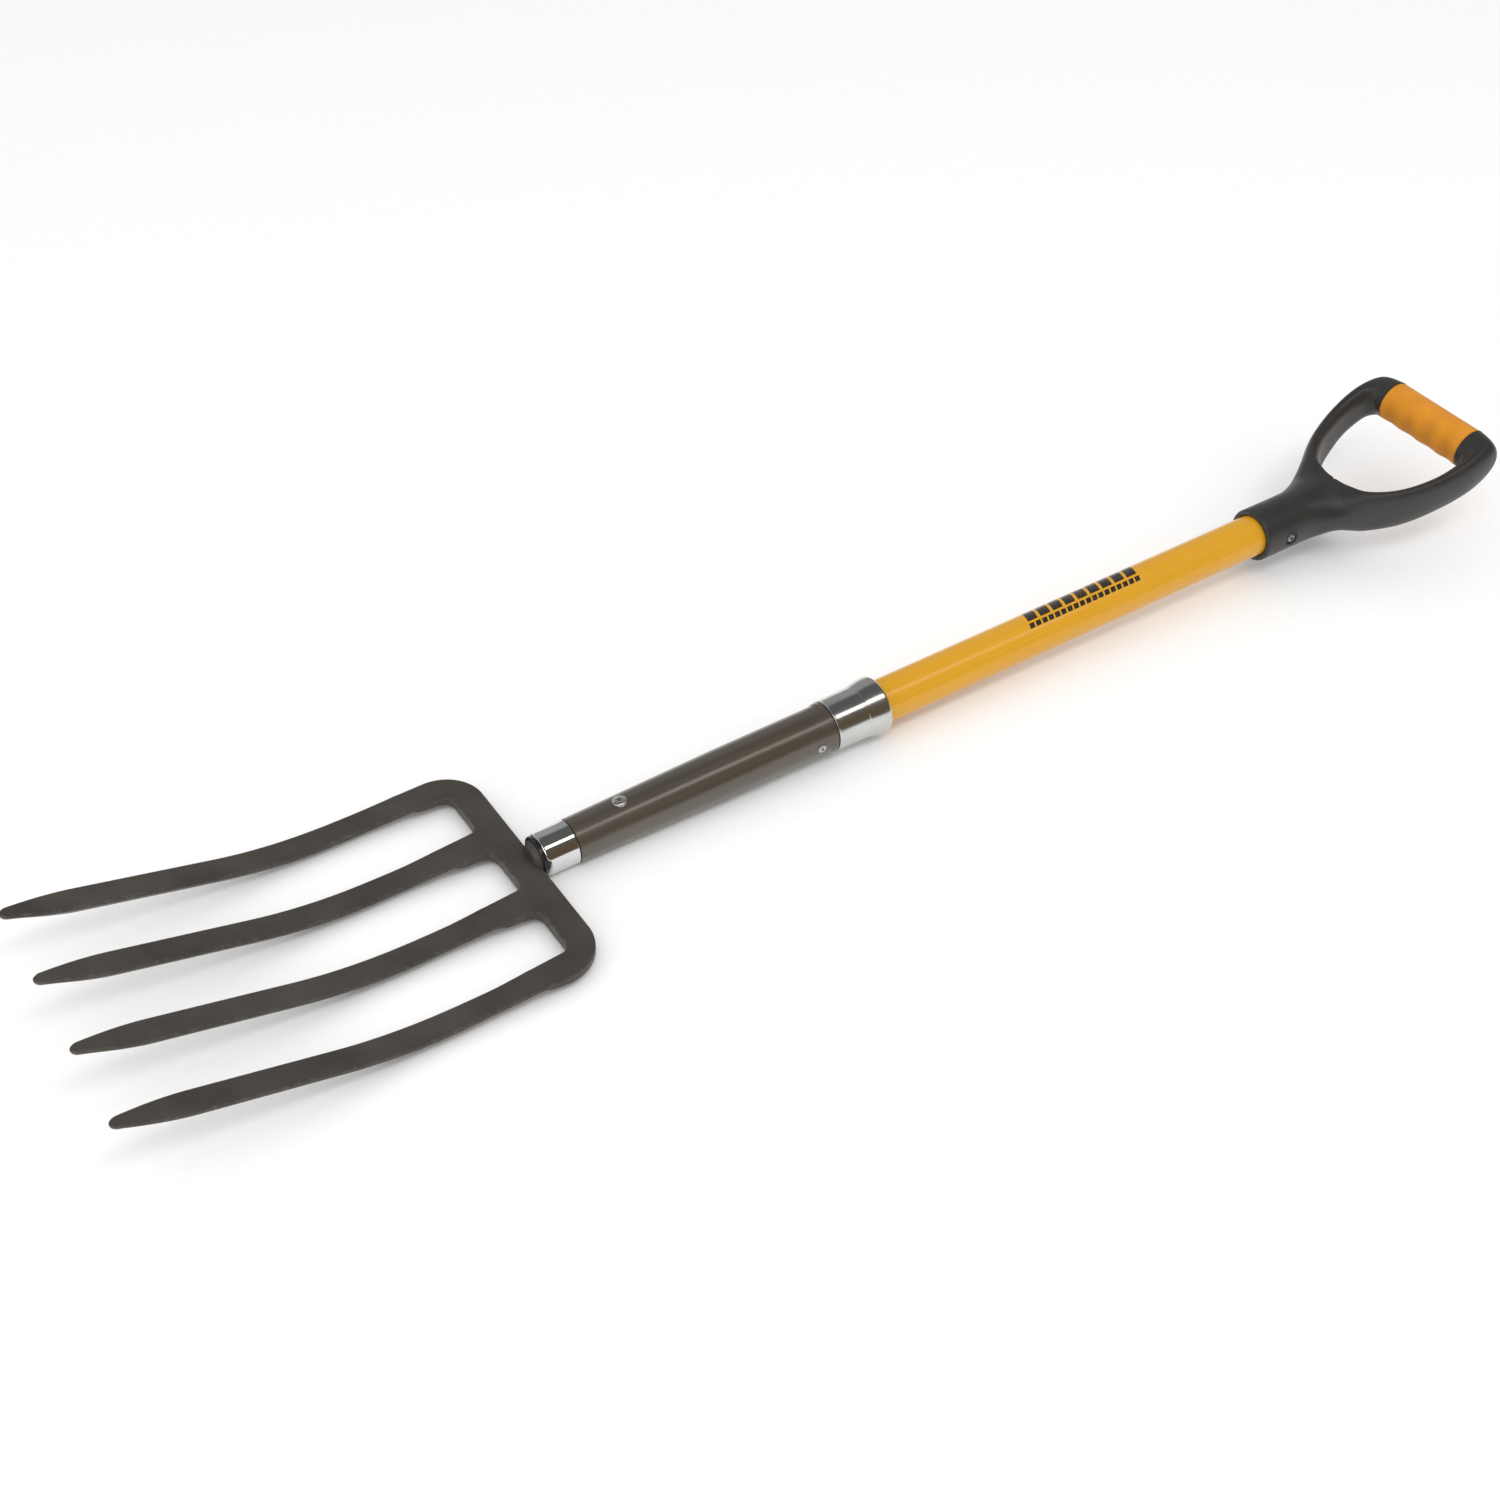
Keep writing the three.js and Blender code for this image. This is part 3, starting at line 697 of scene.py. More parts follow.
@dataclass
class ForkHead:
    """Crossbar and four tines as one forging: flat in front, bevelled to a ridge behind.

    Attributes:
        pitch, width: the distance between tines, and a tine's width.
        plate, bar: the crossbar's thickness and its depth along X.
        bar_edge, bevel: the height of its upright outer edge, and the width of the bevel behind it.
        corner: the radius of its outer corners.
        slot_half, slot_fillet: half the gap between tines at the crossbar and its corner radius.
        edge, apron: the radius of the rounded edges, and the strip beside it that stays flat.
        tip: where the tines end along X.
        flare_start: where a tine begins to widen into the crossbar.
        waist, waist_depth, waist_length: where a tine is narrowest behind its root, by how much
            each side, and how far that reaches.
        bend_start, bend_radius, bend_angle: where the tines begin to curve forwards, and the arc.
        taper, tip_half: the length of a tine's taper, and half its width before the nose.
        nose, nose_drop: the length of the rounded nose, and how far its top falls.
        tip_side, tip_depth: the side face's height and the whole thickness at the tip.
        side, root_side: the height of the side faces on the blade and on the root.
        step_start, step_end: where the side face has its root height, and its blade height.
        dip, dip_depth, dip_length: where the side face is lowest, just before it steps up, by how
            much, and how far that reaches.
        slot_rise, outer_rise: how far behind the origin the side face begins its last growth, in a
            slot and on an outer side.
        rise_length: the length of that growth.
        ridge_half: half the width of the flat ridge along a tine's back.
        round_steps: how many spans a rounded edge has.
        tang_radius, tang_hidden: the radius of the tang's neck, and where the ferrule has hidden it.
    """

    pitch: float = 57.6
    width: float = 17.1
    plate: float = 9.0
    bar: float = 18.0
    bar_edge: float = 6.0
    bevel: float = 6.0
    corner: float = 28.0
    slot_half: float = 18.2
    slot_fillet: float = 5.5
    edge: float = 0.9
    apron: float = 0.6
    tip: float = -282.2
    flare_start: float = -60.0
    waist: float = -64.0
    waist_depth: float = 0.5
    waist_length: float = 22.0
    bend_start: float = -81.0
    bend_radius: float = 286.0
    bend_angle: float = math.radians(15.6)
    taper: float = 44.0
    tip_half: float = 3.0
    nose: float = 4.6
    nose_drop: float = 1.1
    tip_side: float = 2.5
    side: float = 2.9
    root_side: float = 4.9
    step_start: float = -28.0
    step_end: float = -38.0
    dip: float = -39.0
    dip_depth: float = 1.4
    dip_length: float = 7.0
    slot_rise: float = 19.0
    outer_rise: float = 30.0
    rise_length: float = 12.0
    ridge_half: float = 2.6
    tip_depth: float = 4.8
    round_steps: int = 4
    tang_radius: float = 11.2
    tang_hidden: float = 30.0

    @property
    def join(self) -> float:
        """Where the tines meet the crossbar: the end of the slots' rounded corners."""
        return -self.bar / 2 - self.slot_fillet

    def line(self, x: Array) -> tuple[Array, Array]:
        """The front face's course: flat, then an arc, then straight and rising.

        Args:
            x: places along the fork.

        Returns:
            The height and the slope at each place.
        """
        arc_end = self.bend_start - self.bend_radius * math.sin(self.bend_angle)
        sine = np.clip((self.bend_start - x) / self.bend_radius, 0.0, math.sin(self.bend_angle))
        slope = np.arcsin(sine)
        height = self.bend_radius * (1.0 - np.cos(slope))
        return height + np.maximum(arc_end - x, 0.0) * math.tan(self.bend_angle), slope

    def half(self, x: Array, flared: bool) -> Array:
        """Half a tine's width at x.

        It grows from the tip as a power of the sine of the distance and ends there in a half
        ellipse. A side that faces another tine flares into the crossbar, and an outer side
        follows the crossbar's round corner.

        Args:
            x: places along the fork.
            flared: whether the side faces another tine.

        Returns:
            The half width at each place.
        """
        from_tip = np.clip((x - self.tip) / self.taper, 0.0, 1.0)
        body = self.tip_half + (self.width / 2 - self.tip_half) * np.sin(from_tip * math.pi / 2) ** 0.9
        body = body - self.waist_depth * np.exp(-(((x - self.waist) / self.waist_length) ** 2))
        body = body * np.sqrt(1.0 - (1.0 - self.into_nose(x)) ** 2)
        if not flared:
            into_corner = np.maximum(x - (self.bar / 2 - self.corner), 0.0)
            return body - self.corner + np.sqrt(self.corner**2 - into_corner**2)
        root = self.pitch / 2 - self.slot_half - self.width / 2
        return body + root * np.clip((x - self.flare_start) / (self.join - self.flare_start), 0.0, 1.0) ** 1.2

    def into_nose(self, x: Array) -> Array:
        """How far x has come through the rounded nose, from 0 at the tip to 1."""
        return np.clip((x - self.tip) / self.nose, 0.0, 1.0)

    def side_height(self, x: Array, inner: bool) -> Array:
        """The height of a side face at x.

        It dips as a bell curve, steps up by an S-curve to the root, and goes on growing to the
        crossbar's thickness in a slot, or to the height of the outer edge.

        Args:
            x: places along the fork.
            inner: whether the side faces a slot.

        Returns:
            The height at each place.
        """
        height = self.side - self.dip_depth * np.exp(-(((x - self.dip) / self.dip_length) ** 2))
        step = (x - self.step_end) / (self.step_start - self.step_end)
        height = height + (self.root_side - self.side) * smoothstep(step)
        full, rise = (self.plate, self.slot_rise) if inner else (self.bar_edge, self.outer_rise)
        return height + (full - self.root_side) * smoothstep((x + rise) / self.rise_length)

    def edge_profile(self) -> tuple[Array, Array]:
        """The rounding of an edge.

        Returns:
            [inset, depth] rows from the front face to a side, and from a side to the back.
        """
        r, angle = self.edge, np.radians(np.linspace(0.0, 90.0, self.round_steps + 1))
        top = np.stack([r * (1 - np.sin(angle)), r * (1 - np.cos(angle))], axis=1)
        return np.vstack([[[r + self.apron, 0.0]], top]), top[::-1] * [1.0, -1.0]

    def tine(self, offset: float) -> Shape:
        """One tine from its tip to the join, its section a flat-topped bar with a ridged back.

        Round the section go: the front face, a rounded edge, a side face, then the bevel to the
        ridge, mirrored.

        Args:
            offset: the tine's place across the head, in pitches from the middle.

        Returns:
            The tine, open where it meets the crossbar.
        """
        nose = self.tip + self.nose * (1 - np.cos(np.radians(np.linspace(4, 90, 12))))
        taper = np.linspace(self.tip + self.nose, self.tip + self.taper, 22)[1:]
        blade = np.linspace(self.tip + self.taper, self.bend_start + 10, 46)[1:]
        root = np.linspace(self.bend_start + 10, self.join, 48)[1:]
        x = np.concatenate([nose, taper, blade, root])
        rise, slope = self.line(x)
        grown = smoothstep((x - self.tip) / self.taper)
        thin = np.sqrt(np.clip(1.0 - (1.0 - self.into_nose(x)) ** 2, 0.03, 1.0))
        depth = (self.tip_depth + (self.plate - self.tip_depth) * grown) * thin
        top, bottom = self.edge_profile()
        sides = []
        for sign, flared in ((1.0, offset < 1.5), (-1.0, offset > -1.5)):
            half = self.half(x, flared)[:, None]
            side = (self.tip_side + (self.side_height(x, flared) - self.tip_side) * grown) * thin
            side = side[:, None]
            room = 2.2 * self.edge
            small = np.minimum(1.0, half / room) * np.minimum(1.0, side / room)
            inset = np.hstack([top[:, 0] * small, bottom[:, 0] * small])
            drop = np.hstack([top[:, 1] * small, side + bottom[:, 1] * small])
            sides.append(np.stack([sign * (half - inset), -drop], axis=-1))
        ridge = np.minimum(self.ridge_half, self.half(x, False) * 0.35)
        ridge[-1] = self.ridge_half
        back = np.stack([np.stack([s * ridge, -depth], axis=-1) for s in (1.0, -1.0)], axis=1)
        middle = np.zeros((len(x), 1, 2))
        ring = np.concatenate([middle, sides[0], back, sides[1][:, ::-1]], axis=1)
        shift = self.nose_drop * (1.0 - np.sqrt(1.0 - (1.0 - self.into_nose(x)) ** 2))
        across, down = ring[..., 0], ring[..., 1] - shift[:, None]
        points = np.stack([
            x[:, None] + down * np.sin(slope)[:, None],
            offset * self.pitch + across,
            rise[:, None] + down * np.cos(slope)[:, None],
        ], axis=-1)
        shape = Shape.grid(points, close_columns=True)
        shape.faces.append(list(range(ring.shape[1])))
        mark = np.zeros(ring.shape[:2])
        # These rounded front edge columns carry the edge mark, which the coating lightens as painted edge
        # highlight and wear.
        worn = 1 + np.arange(1, len(top))
        mark[:, worn] = mark[:, -worn] = 1.0
        shape.marks["edge"] = mark.ravel()
        return shape

    def outer_edge(self) -> tuple[Array, Array, Array, Array]:
        """The outside of the crossbar, from one outer tine to the other.

        Returns:
            Outline rows, as both_ways gives them.
        """
        outer, r, back = 1.5 * self.pitch, self.corner, self.bar / 2
        half = outer + self.width / 2
        first = math.degrees(math.asin((self.join - back + r) / r)) - 90.0
        turn = np.radians(np.linspace(first, 0.0, 20))[1:]
        corner = np.stack([back - r + r * np.cos(turn), -half + r + r * np.sin(turn)], axis=1)
        out = np.stack([np.cos(turn), np.sin(turn)], axis=1)
        start = float(self.half(np.array(self.join), False))
        run = np.vstack([[[self.join, -outer - start]], corner])
        way = np.vstack([[[0.0, -1.0]], out])
        first_depth = self.side_height(np.array([self.join]), False)
        depth = np.concatenate([first_depth, np.full(len(turn), self.bar_edge)])
        bevel = np.concatenate([[start - self.ridge_half], np.full(len(turn), self.bevel)])
        return self.both_ways(run, way, depth, bevel)

    def slot_edge(self, middle: float) -> tuple[Array, Array, Array, Array]:
        """The crossbar's edge in one slot, from its +Y side to its -Y side.

        Args:
            middle: the slot's middle across the head.

        Returns:
            Outline rows, as both_ways gives them.
        """
        front, r = -self.bar / 2, self.slot_fillet
        angle = np.linspace(90, 0, 13)
        turn = np.radians(angle)
        run = np.stack([front - r + r * np.cos(turn), self.slot_half - r + r * np.sin(turn)], axis=1)
        start = float(self.half(np.array(self.join), True))
        run[0, 1] = self.pitch / 2 - start
        way = np.stack([-np.cos(turn), -np.sin(turn)], axis=1)
        into = smoothstep((90.0 - angle) / 75.0)
        first = float(self.side_height(np.array(self.join), True))
        depth = first + (self.plate - 0.3 - first) * into
        bevel = start - self.ridge_half + (self.edge + 0.8 - start + self.ridge_half) * into
        points, out, deep, wide = self.both_ways(run, way, depth, bevel)
        return points + [0.0, middle], out, deep, wide

    @staticmethod
    def both_ways(run: Array, way: Array, depth: Array, bevel: Array) -> tuple[Array, Array, Array, Array]:
        """Half an outline, then its mirror image back to the other side.

        Args:
            run, way: the half outline's points and its outward directions.
            depth: the side face's height at each point.
            bevel: how far in the back's bevel reaches there.

        Returns:
            The outline's points, its outward directions, the side face's height at each point
            and how far in the back's bevel reaches there.
        """
        flip = [1.0, -1.0]
        return (np.vstack([run, run[::-1] * flip]), np.vstack([way, way[::-1] * flip]),
                np.concatenate([depth, depth[::-1]]), np.concatenate([bevel, bevel[::-1]]))

    def crossbar(self) -> Shape:
        """The crossbar: edge profiles swept along its outline, and two flat faces.

        A point of the outline at p with outward direction n gives p - n * inset at each depth.

        Returns:
            The crossbar, open where the tines join it.
        """
        top_rows, bottom_rows = self.edge_profile()
        edges = [self.outer_edge()] + [self.slot_edge(m * self.pitch) for m in (1, 0, -1)]
        points, faces, marks, front, back = [], [], [], [], []
        start = 0
        for k, (outline, out, height, bevel) in enumerate(edges):
            one = np.ones((len(outline), 1))
            inset = np.hstack([one * top_rows[:, 0], one * bottom_rows[:, 0], bevel[:, None]])
            depth = np.hstack([one * top_rows[:, 1], height[:, None] + bottom_rows[:, 1], one * self.plate])
            flat = outline[:, None, :] - out[:, None, :] * inset[..., None]
            block = np.concatenate([flat, -depth[..., None]], axis=-1)
            rows, columns = block.shape[:2]
            points.append(block.reshape(-1, 3))
            faces += (grid_quads(rows, columns) + start).tolist()
            mark = np.zeros((rows, columns))
            # The rounded front edges carry the edge mark, which the coating lightens as painted edge
            # highlight and wear.
            mark[:, 1:len(top_rows)] = 1.0
            marks.append(mark.ravel())
            front += [start + i * columns for i in range(rows)]
            back += [start + i * columns + columns - 1 for i in range(rows)]
            start += rows * columns
            points.append(np.array([[self.join, (1.5 - k) * self.pitch, 0.0]]))
            marks.append(np.zeros(1))
            front.append(start)
            start += 1
        faces += [front, back[::-1]]
        return Shape(np.vstack(points), faces, {"edge": np.concatenate(marks)})

    def tang(self) -> Shape:
        """The tang's neck, from inside the crossbar's back edge to where the ferrule hides it.

        Returns:
            The neck, closed.
        """
        start, hidden, radius = self.bar / 2, self.tang_hidden, self.tang_radius
        root = [[start - 3.0, 0.0], [start - 3.0, 8.0], [start + 0.1, radius]]
        shape = turned(np.array(root + [[hidden, radius], [hidden, 0.0]]), 48)
        shape.marks["edge"] = np.zeros(len(shape.points))
        return shape

    def build(self) -> None:
        """Joins crossbar and tines point to point and makes the forging."""
        head = self.crossbar()
        for offset in (-1.5, -0.5, 0.5, 1.5):
            head = head.joined(self.tine(offset))
        head = head.joined(self.tang())
        make_piece("forged_head", head, ForgedCoating().material(), "fork_head", sharp=42)


# ---------------------------------------------------------------- ferrule, tube, collar and shaft


@dataclass
class SocketFittings:
    """The turned pieces between head and handle, each a profile spun about the shaft's axis.

    Attributes:
        gap: the clearance between neighbours.
        segments: how many points go round each piece.
        boss_round, boss_bore: the rounding of the neck ring, and the radius inside it.
        ferrule_wall, ferrule_round: the cap's wall, and the length and height of its rounded end.
        bead, bead_lift: the rolled rims of the ferrule and collar, and how far they stand up.
        tube_taper_end, tube_radius, tube_wall: where the tube stops widening, and its sizes there.
        lip_length: the length of the tube's rolled lip.
        collar_wall, collar_start, collar_neck, collar_round: the collar's wall, its radius at the
            lip, where its bend is, and its shoulder's rounding.
        neck_radius: the collar's radius at its bend.
        shaft_bore: the radius inside the shaft.
        shaft_turned, shaft_shoulder: the shaft's radius inside the tube, and where that ends.
    """

    gap: float = 0.3
    segments: int = 128
    boss_round: float = 1.3
    boss_bore: float = 11.6
    ferrule_wall: float = 1.2
    ferrule_round: tuple[float, float] = (3.6, 1.9)
    bead: float = 0.45
    bead_lift: float = 0.2
    tube_taper_end: float = 142.0
    tube_radius: float = 16.05
    tube_wall: float = 1.45
    lip_length: float = 3.6
    collar_wall: float = 0.9
    collar_start: float = 17.4
    neck_radius: float = 17.9
    collar_neck: float = 248.5
    collar_round: float = 2.2
    shaft_bore: float = 11.0
    shaft_turned: float = 14.3
    shaft_shoulder: float = 254.0

    def extent(self, node: str) -> tuple[float, float, float]:
        """A turned node's first x, last x and outer radius, from the frame."""
        low, high = node_box(node)
        return float(low[0]), float(high[0]), float(high[1])

    def neck_boss(self) -> None:
        """A black ring on the tang, its outer edge well rounded towards the head."""
        start, end, radius = self.extent("neck_boss")
        r, inner = self.boss_round, self.boss_bore
        profile = np.vstack([
            [[start, inner]], arc(start + r, radius - r, r, r, 180, 90, 10),
            arc(end - 0.5, radius - 0.5, 0.5, 0.5, 90, 0, 3), [[end, inner]],
        ])
        finish = GrainedPlastic("black_boss_lacquer", (0.014, 0.0135, 0.013), 0.2, 0.006)
        make_piece("neck_ring", turned(profile, self.segments), finish.material(), "neck_boss")

    def ferrule(self) -> None:
        """A chromed cap: rounded over at the head end, with a rolled bright edge at the other."""
        start, end, radius = self.extent("ferrule")
        inner, bead, (long, high) = radius - self.ferrule_wall, self.bead, self.ferrule_round
        body, lip = radius - self.bead_lift, inner - 1.1
        profile = np.vstack([
            [[start + 0.5, lip], [start, lip + 0.4]],
            arc(start + long, body - high, long, high, 180, 90, 14),
            span([start + long + 0.5, body], [end - 2.4, body], 6),
            arc(end - 0.9, radius - bead, bead, bead, 110, 20, 8),
            [[end, inner], [start + long, inner], [start + 1.2, lip]],
        ])
        finish = Plating("ferrule_chrome", (0.76, 0.76, 0.76), 0.05, 0.03, 0.002)
        make_piece("chrome_ferrule", turned(profile, self.segments), finish.material(), "ferrule")

    def tube(self) -> None:
        """The steel tube: narrow inside the ferrule, a long taper, a straight run and a rolled lip."""
        start, end, lip = self.extent("socket_tube")
        _, ferrule_end, ferrule_r = self.extent("ferrule")
        collar_start = self.extent("collar")[0]
        hidden, shown = ferrule_r - self.ferrule_wall - self.gap, ferrule_end + self.gap
        lip_start = collar_start - self.gap - self.lip_length
        bore = self.tube_radius - self.tube_wall
        profile = np.vstack([
            [[start, hidden - 1.5], [start, hidden], [shown, hidden]],
            arc(shown + 0.5, ferrule_r - 0.5, 0.5, 0.5, 180, 90, 3),
            span([shown + 2.0, ferrule_r + 0.02], [self.tube_taper_end, self.tube_radius], 20),
            span([self.tube_taper_end + 4, self.tube_radius], [lip_start - 1.5, self.tube_radius], 8),
            arc(lip_start + 1.4, lip - 0.7, 1.4, 0.7, 150, 90, 5),
            arc(collar_start - self.gap - 0.5, lip - 0.5, 0.5, 0.5, 90, 0, 3),
            [[collar_start - self.gap, self.tube_radius], [end, self.tube_radius], [end, bore]],
            [[self.tube_taper_end + 6, bore], [60.0, 13.3], [44.0, 11.7]],
        ])
        finish = MetallicPaint().material()
        make_piece("steel_socket_tube", turned(profile, self.segments), finish, "socket_tube")

    def collar(self) -> None:
        """The plated collar: a slow flare, a crisp bend, a steeper flare and a rounded shoulder."""
        start, end, flare = self.extent("collar")
        shaft = self.extent("shaft_tube")[2]
        neck_r, start_r, wall, r = self.neck_radius, self.collar_start, self.collar_wall, self.collar_round
        bead, lift = self.bead, self.bead_lift
        t = np.linspace(0.0, 1.0, 15)[:-1]
        swell = np.stack([
            self.collar_neck + 0.3 + t * (end - r - self.collar_neck - 0.3),
            neck_r + 0.03 + (flare - neck_r - 0.03) * np.sin(t * math.pi / 2),
        ], axis=1)
        profile = np.vstack([
            arc(start + bead, start_r + lift - bead, bead, bead, 180, 60, 7),
            span([start + 1.3, start_r], [self.collar_neck - 0.7, neck_r], 8),
            [[self.collar_neck - 0.2, neck_r - lift]], swell, arc(end - r, flare - r, r, r, 90, 0, 10),
            [[end, shaft + self.gap], [end - wall, shaft + self.gap]],
            arc(end - r, flare - r, r - wall, r - wall, 0, 90, 6), swell[::-4] - [0.0, wall],
            [[self.collar_neck, neck_r - wall], [start, start_r - wall]],
        ])
        finish = Plating("collar_zinc", (0.62, 0.63, 0.63), 0.15, 0.08, 0.006, tint=(0.58, 0.57, 0.53))
        make_piece("plated_collar", turned(profile, self.segments), finish.material(), "collar", sharp=12)

    def shaft(self) -> None:
        """The fibreglass shaft, from inside the tube to inside the handle."""
        start, end, radius = self.extent("shaft_tube")
        lower, shoulder = self.shaft_turned, self.shaft_shoulder
        profile = np.vstack([
            [[start, self.shaft_bore], [start, lower], [shoulder, lower]],
            span([shoulder, radius], [end, radius], 30), [[end, self.shaft_bore]],
        ])
        finish = GlossFibreglass().material(radius)
        make_piece("fibreglass_shaft", turned(profile, self.segments), finish, "shaft_tube")

    def build(self) -> None:
        """Makes the five turned pieces, from the head outwards."""
        self.neck_boss()
        self.ferrule()
        self.tube()
        self.collar()
        self.shaft()


# ---------------------------------------------------------------- rivets


class Wall(Enum):
    """Which way a rivet points out of the fork: its turn from +Y towards +Z, in degrees."""

    FRONT = 90.0
    LEFT = 180.0
    RIGHT = 0.0


@dataclass
class BlindRivet:
    """A pulled rivet: a domed head that hugs a round wall, and the broken pin in its middle.

    Attributes:
        node: the frame node of the rivet's body; its pin's node ends in _pin.
        side: the way it points.
        wall: the radius of the round wall under the head.
        head: the head's radius.
        rise: how far the dome stands above the wall.
        hole: the radius of the hollow in the middle.
        shank: the radius of the part in the wall.
        metal: the colour of its alloy.
        reach: how far the rivet and its pin go below the wall's surface.
    """

    node: str
    side: Wall
    wall: float
    head: float
    rise: float
    hole: float
    shank: float
    metal: Colour = (0.74, 0.74, 0.73)
    reach: float = 6.0

    @property
    def at(self) -> float:
        """The rivet's place along X, from the frame."""
        return middle_x(self.node)

    def place(self, along: Array, across: Array, out: Array) -> Array:
        """Turns local distances into the fork's axes.

        With t the way the rivet points, out = cos t Y + sin t Z and across = -sin t Y + cos t Z.

        Args:
            along, across, out: distances along the fork, across the rivet and out from the axis.

        Returns:
            An array of points.
        """
        t = math.radians(self.side.value)
        y = out * math.cos(t) - across * math.sin(t)
        z = out * math.sin(t) + across * math.cos(t)
        return np.stack([self.at + along, y, z], axis=-1)

    def surface(self, profile: Array, segments: int = 48) -> Shape:
        """A turned profile that follows the wall.

        A row is [radius, lift, follow]. At angle a the point is radius (cos a, sin a) across the
        wall and sqrt(wall^2 - (follow * radius * sin a)^2) + lift out from the shaft's axis.

        Args:
            profile: the rows, from the outside in.
            segments: how many points go round.

        Returns:
            The turned shape.
        """
        angle = np.linspace(0, 2 * math.pi, segments, endpoint=False)[None, :]
        radius, lift, follow = (profile[:, k:k + 1] for k in range(3))
        along, across = radius * np.cos(angle), radius * np.sin(angle)
        out = np.sqrt(self.wall**2 - (follow * across) ** 2) + lift
        closed = bool(profile[0, 0] > 0.0)
        return Shape.grid(self.place(along, across, out), close_rows=closed, close_columns=True)

    def build(self) -> None:
        """Makes the rivet's body and its pin."""
        edge = 0.28 * self.rise
        angle = np.radians(np.linspace(0, 90, 12))
        inner = self.hole + 0.35
        dome_r = inner + (self.head - inner) * np.cos(angle)
        dome_z = edge + (self.rise - edge) * np.sin(angle) ** 0.9
        follow = np.linspace(1.0, 0.55, len(angle))
        profile = np.vstack([
            [[self.shank, -self.reach, 0.0], [self.shank, -0.4, 1.0]],
            [[self.head - 0.15, -0.15, 1.0], [self.head, 0.02, 1.0]],
            np.stack([dome_r, dome_z, follow], axis=1),
            [[self.hole + 0.08, self.rise - 0.12, 0.5], [self.hole, self.rise - 0.35, 0.4]],
            [[self.hole, -self.reach, 0.0]],
        ])
        alloy = Plating("rivet_alloy", self.metal, 0.24, 0.14, 0.01).material()
        make_piece(self.node + "_head", self.surface(profile), alloy, self.node)
        r, top = self.hole - 0.12, self.rise - 0.75
        stub = np.array([
            [0.0, top - 0.15, 0.0], [r * 0.55, top, 0.0], [r * 0.9, top - 0.1, 0.0],
            [r, top - 0.35, 0.0], [r, -self.reach, 0.0], [0.0, -self.reach, 0.0],
        ])
        steel = Plating("pin_steel", shade(self.metal, 0.4), 0.38, 0.2, 0.03).material()
        make_piece(self.node + "_stub", self.surface(stub, 24), steel, self.node + "_pin")


# ---------------------------------------------------------------- the D-handle


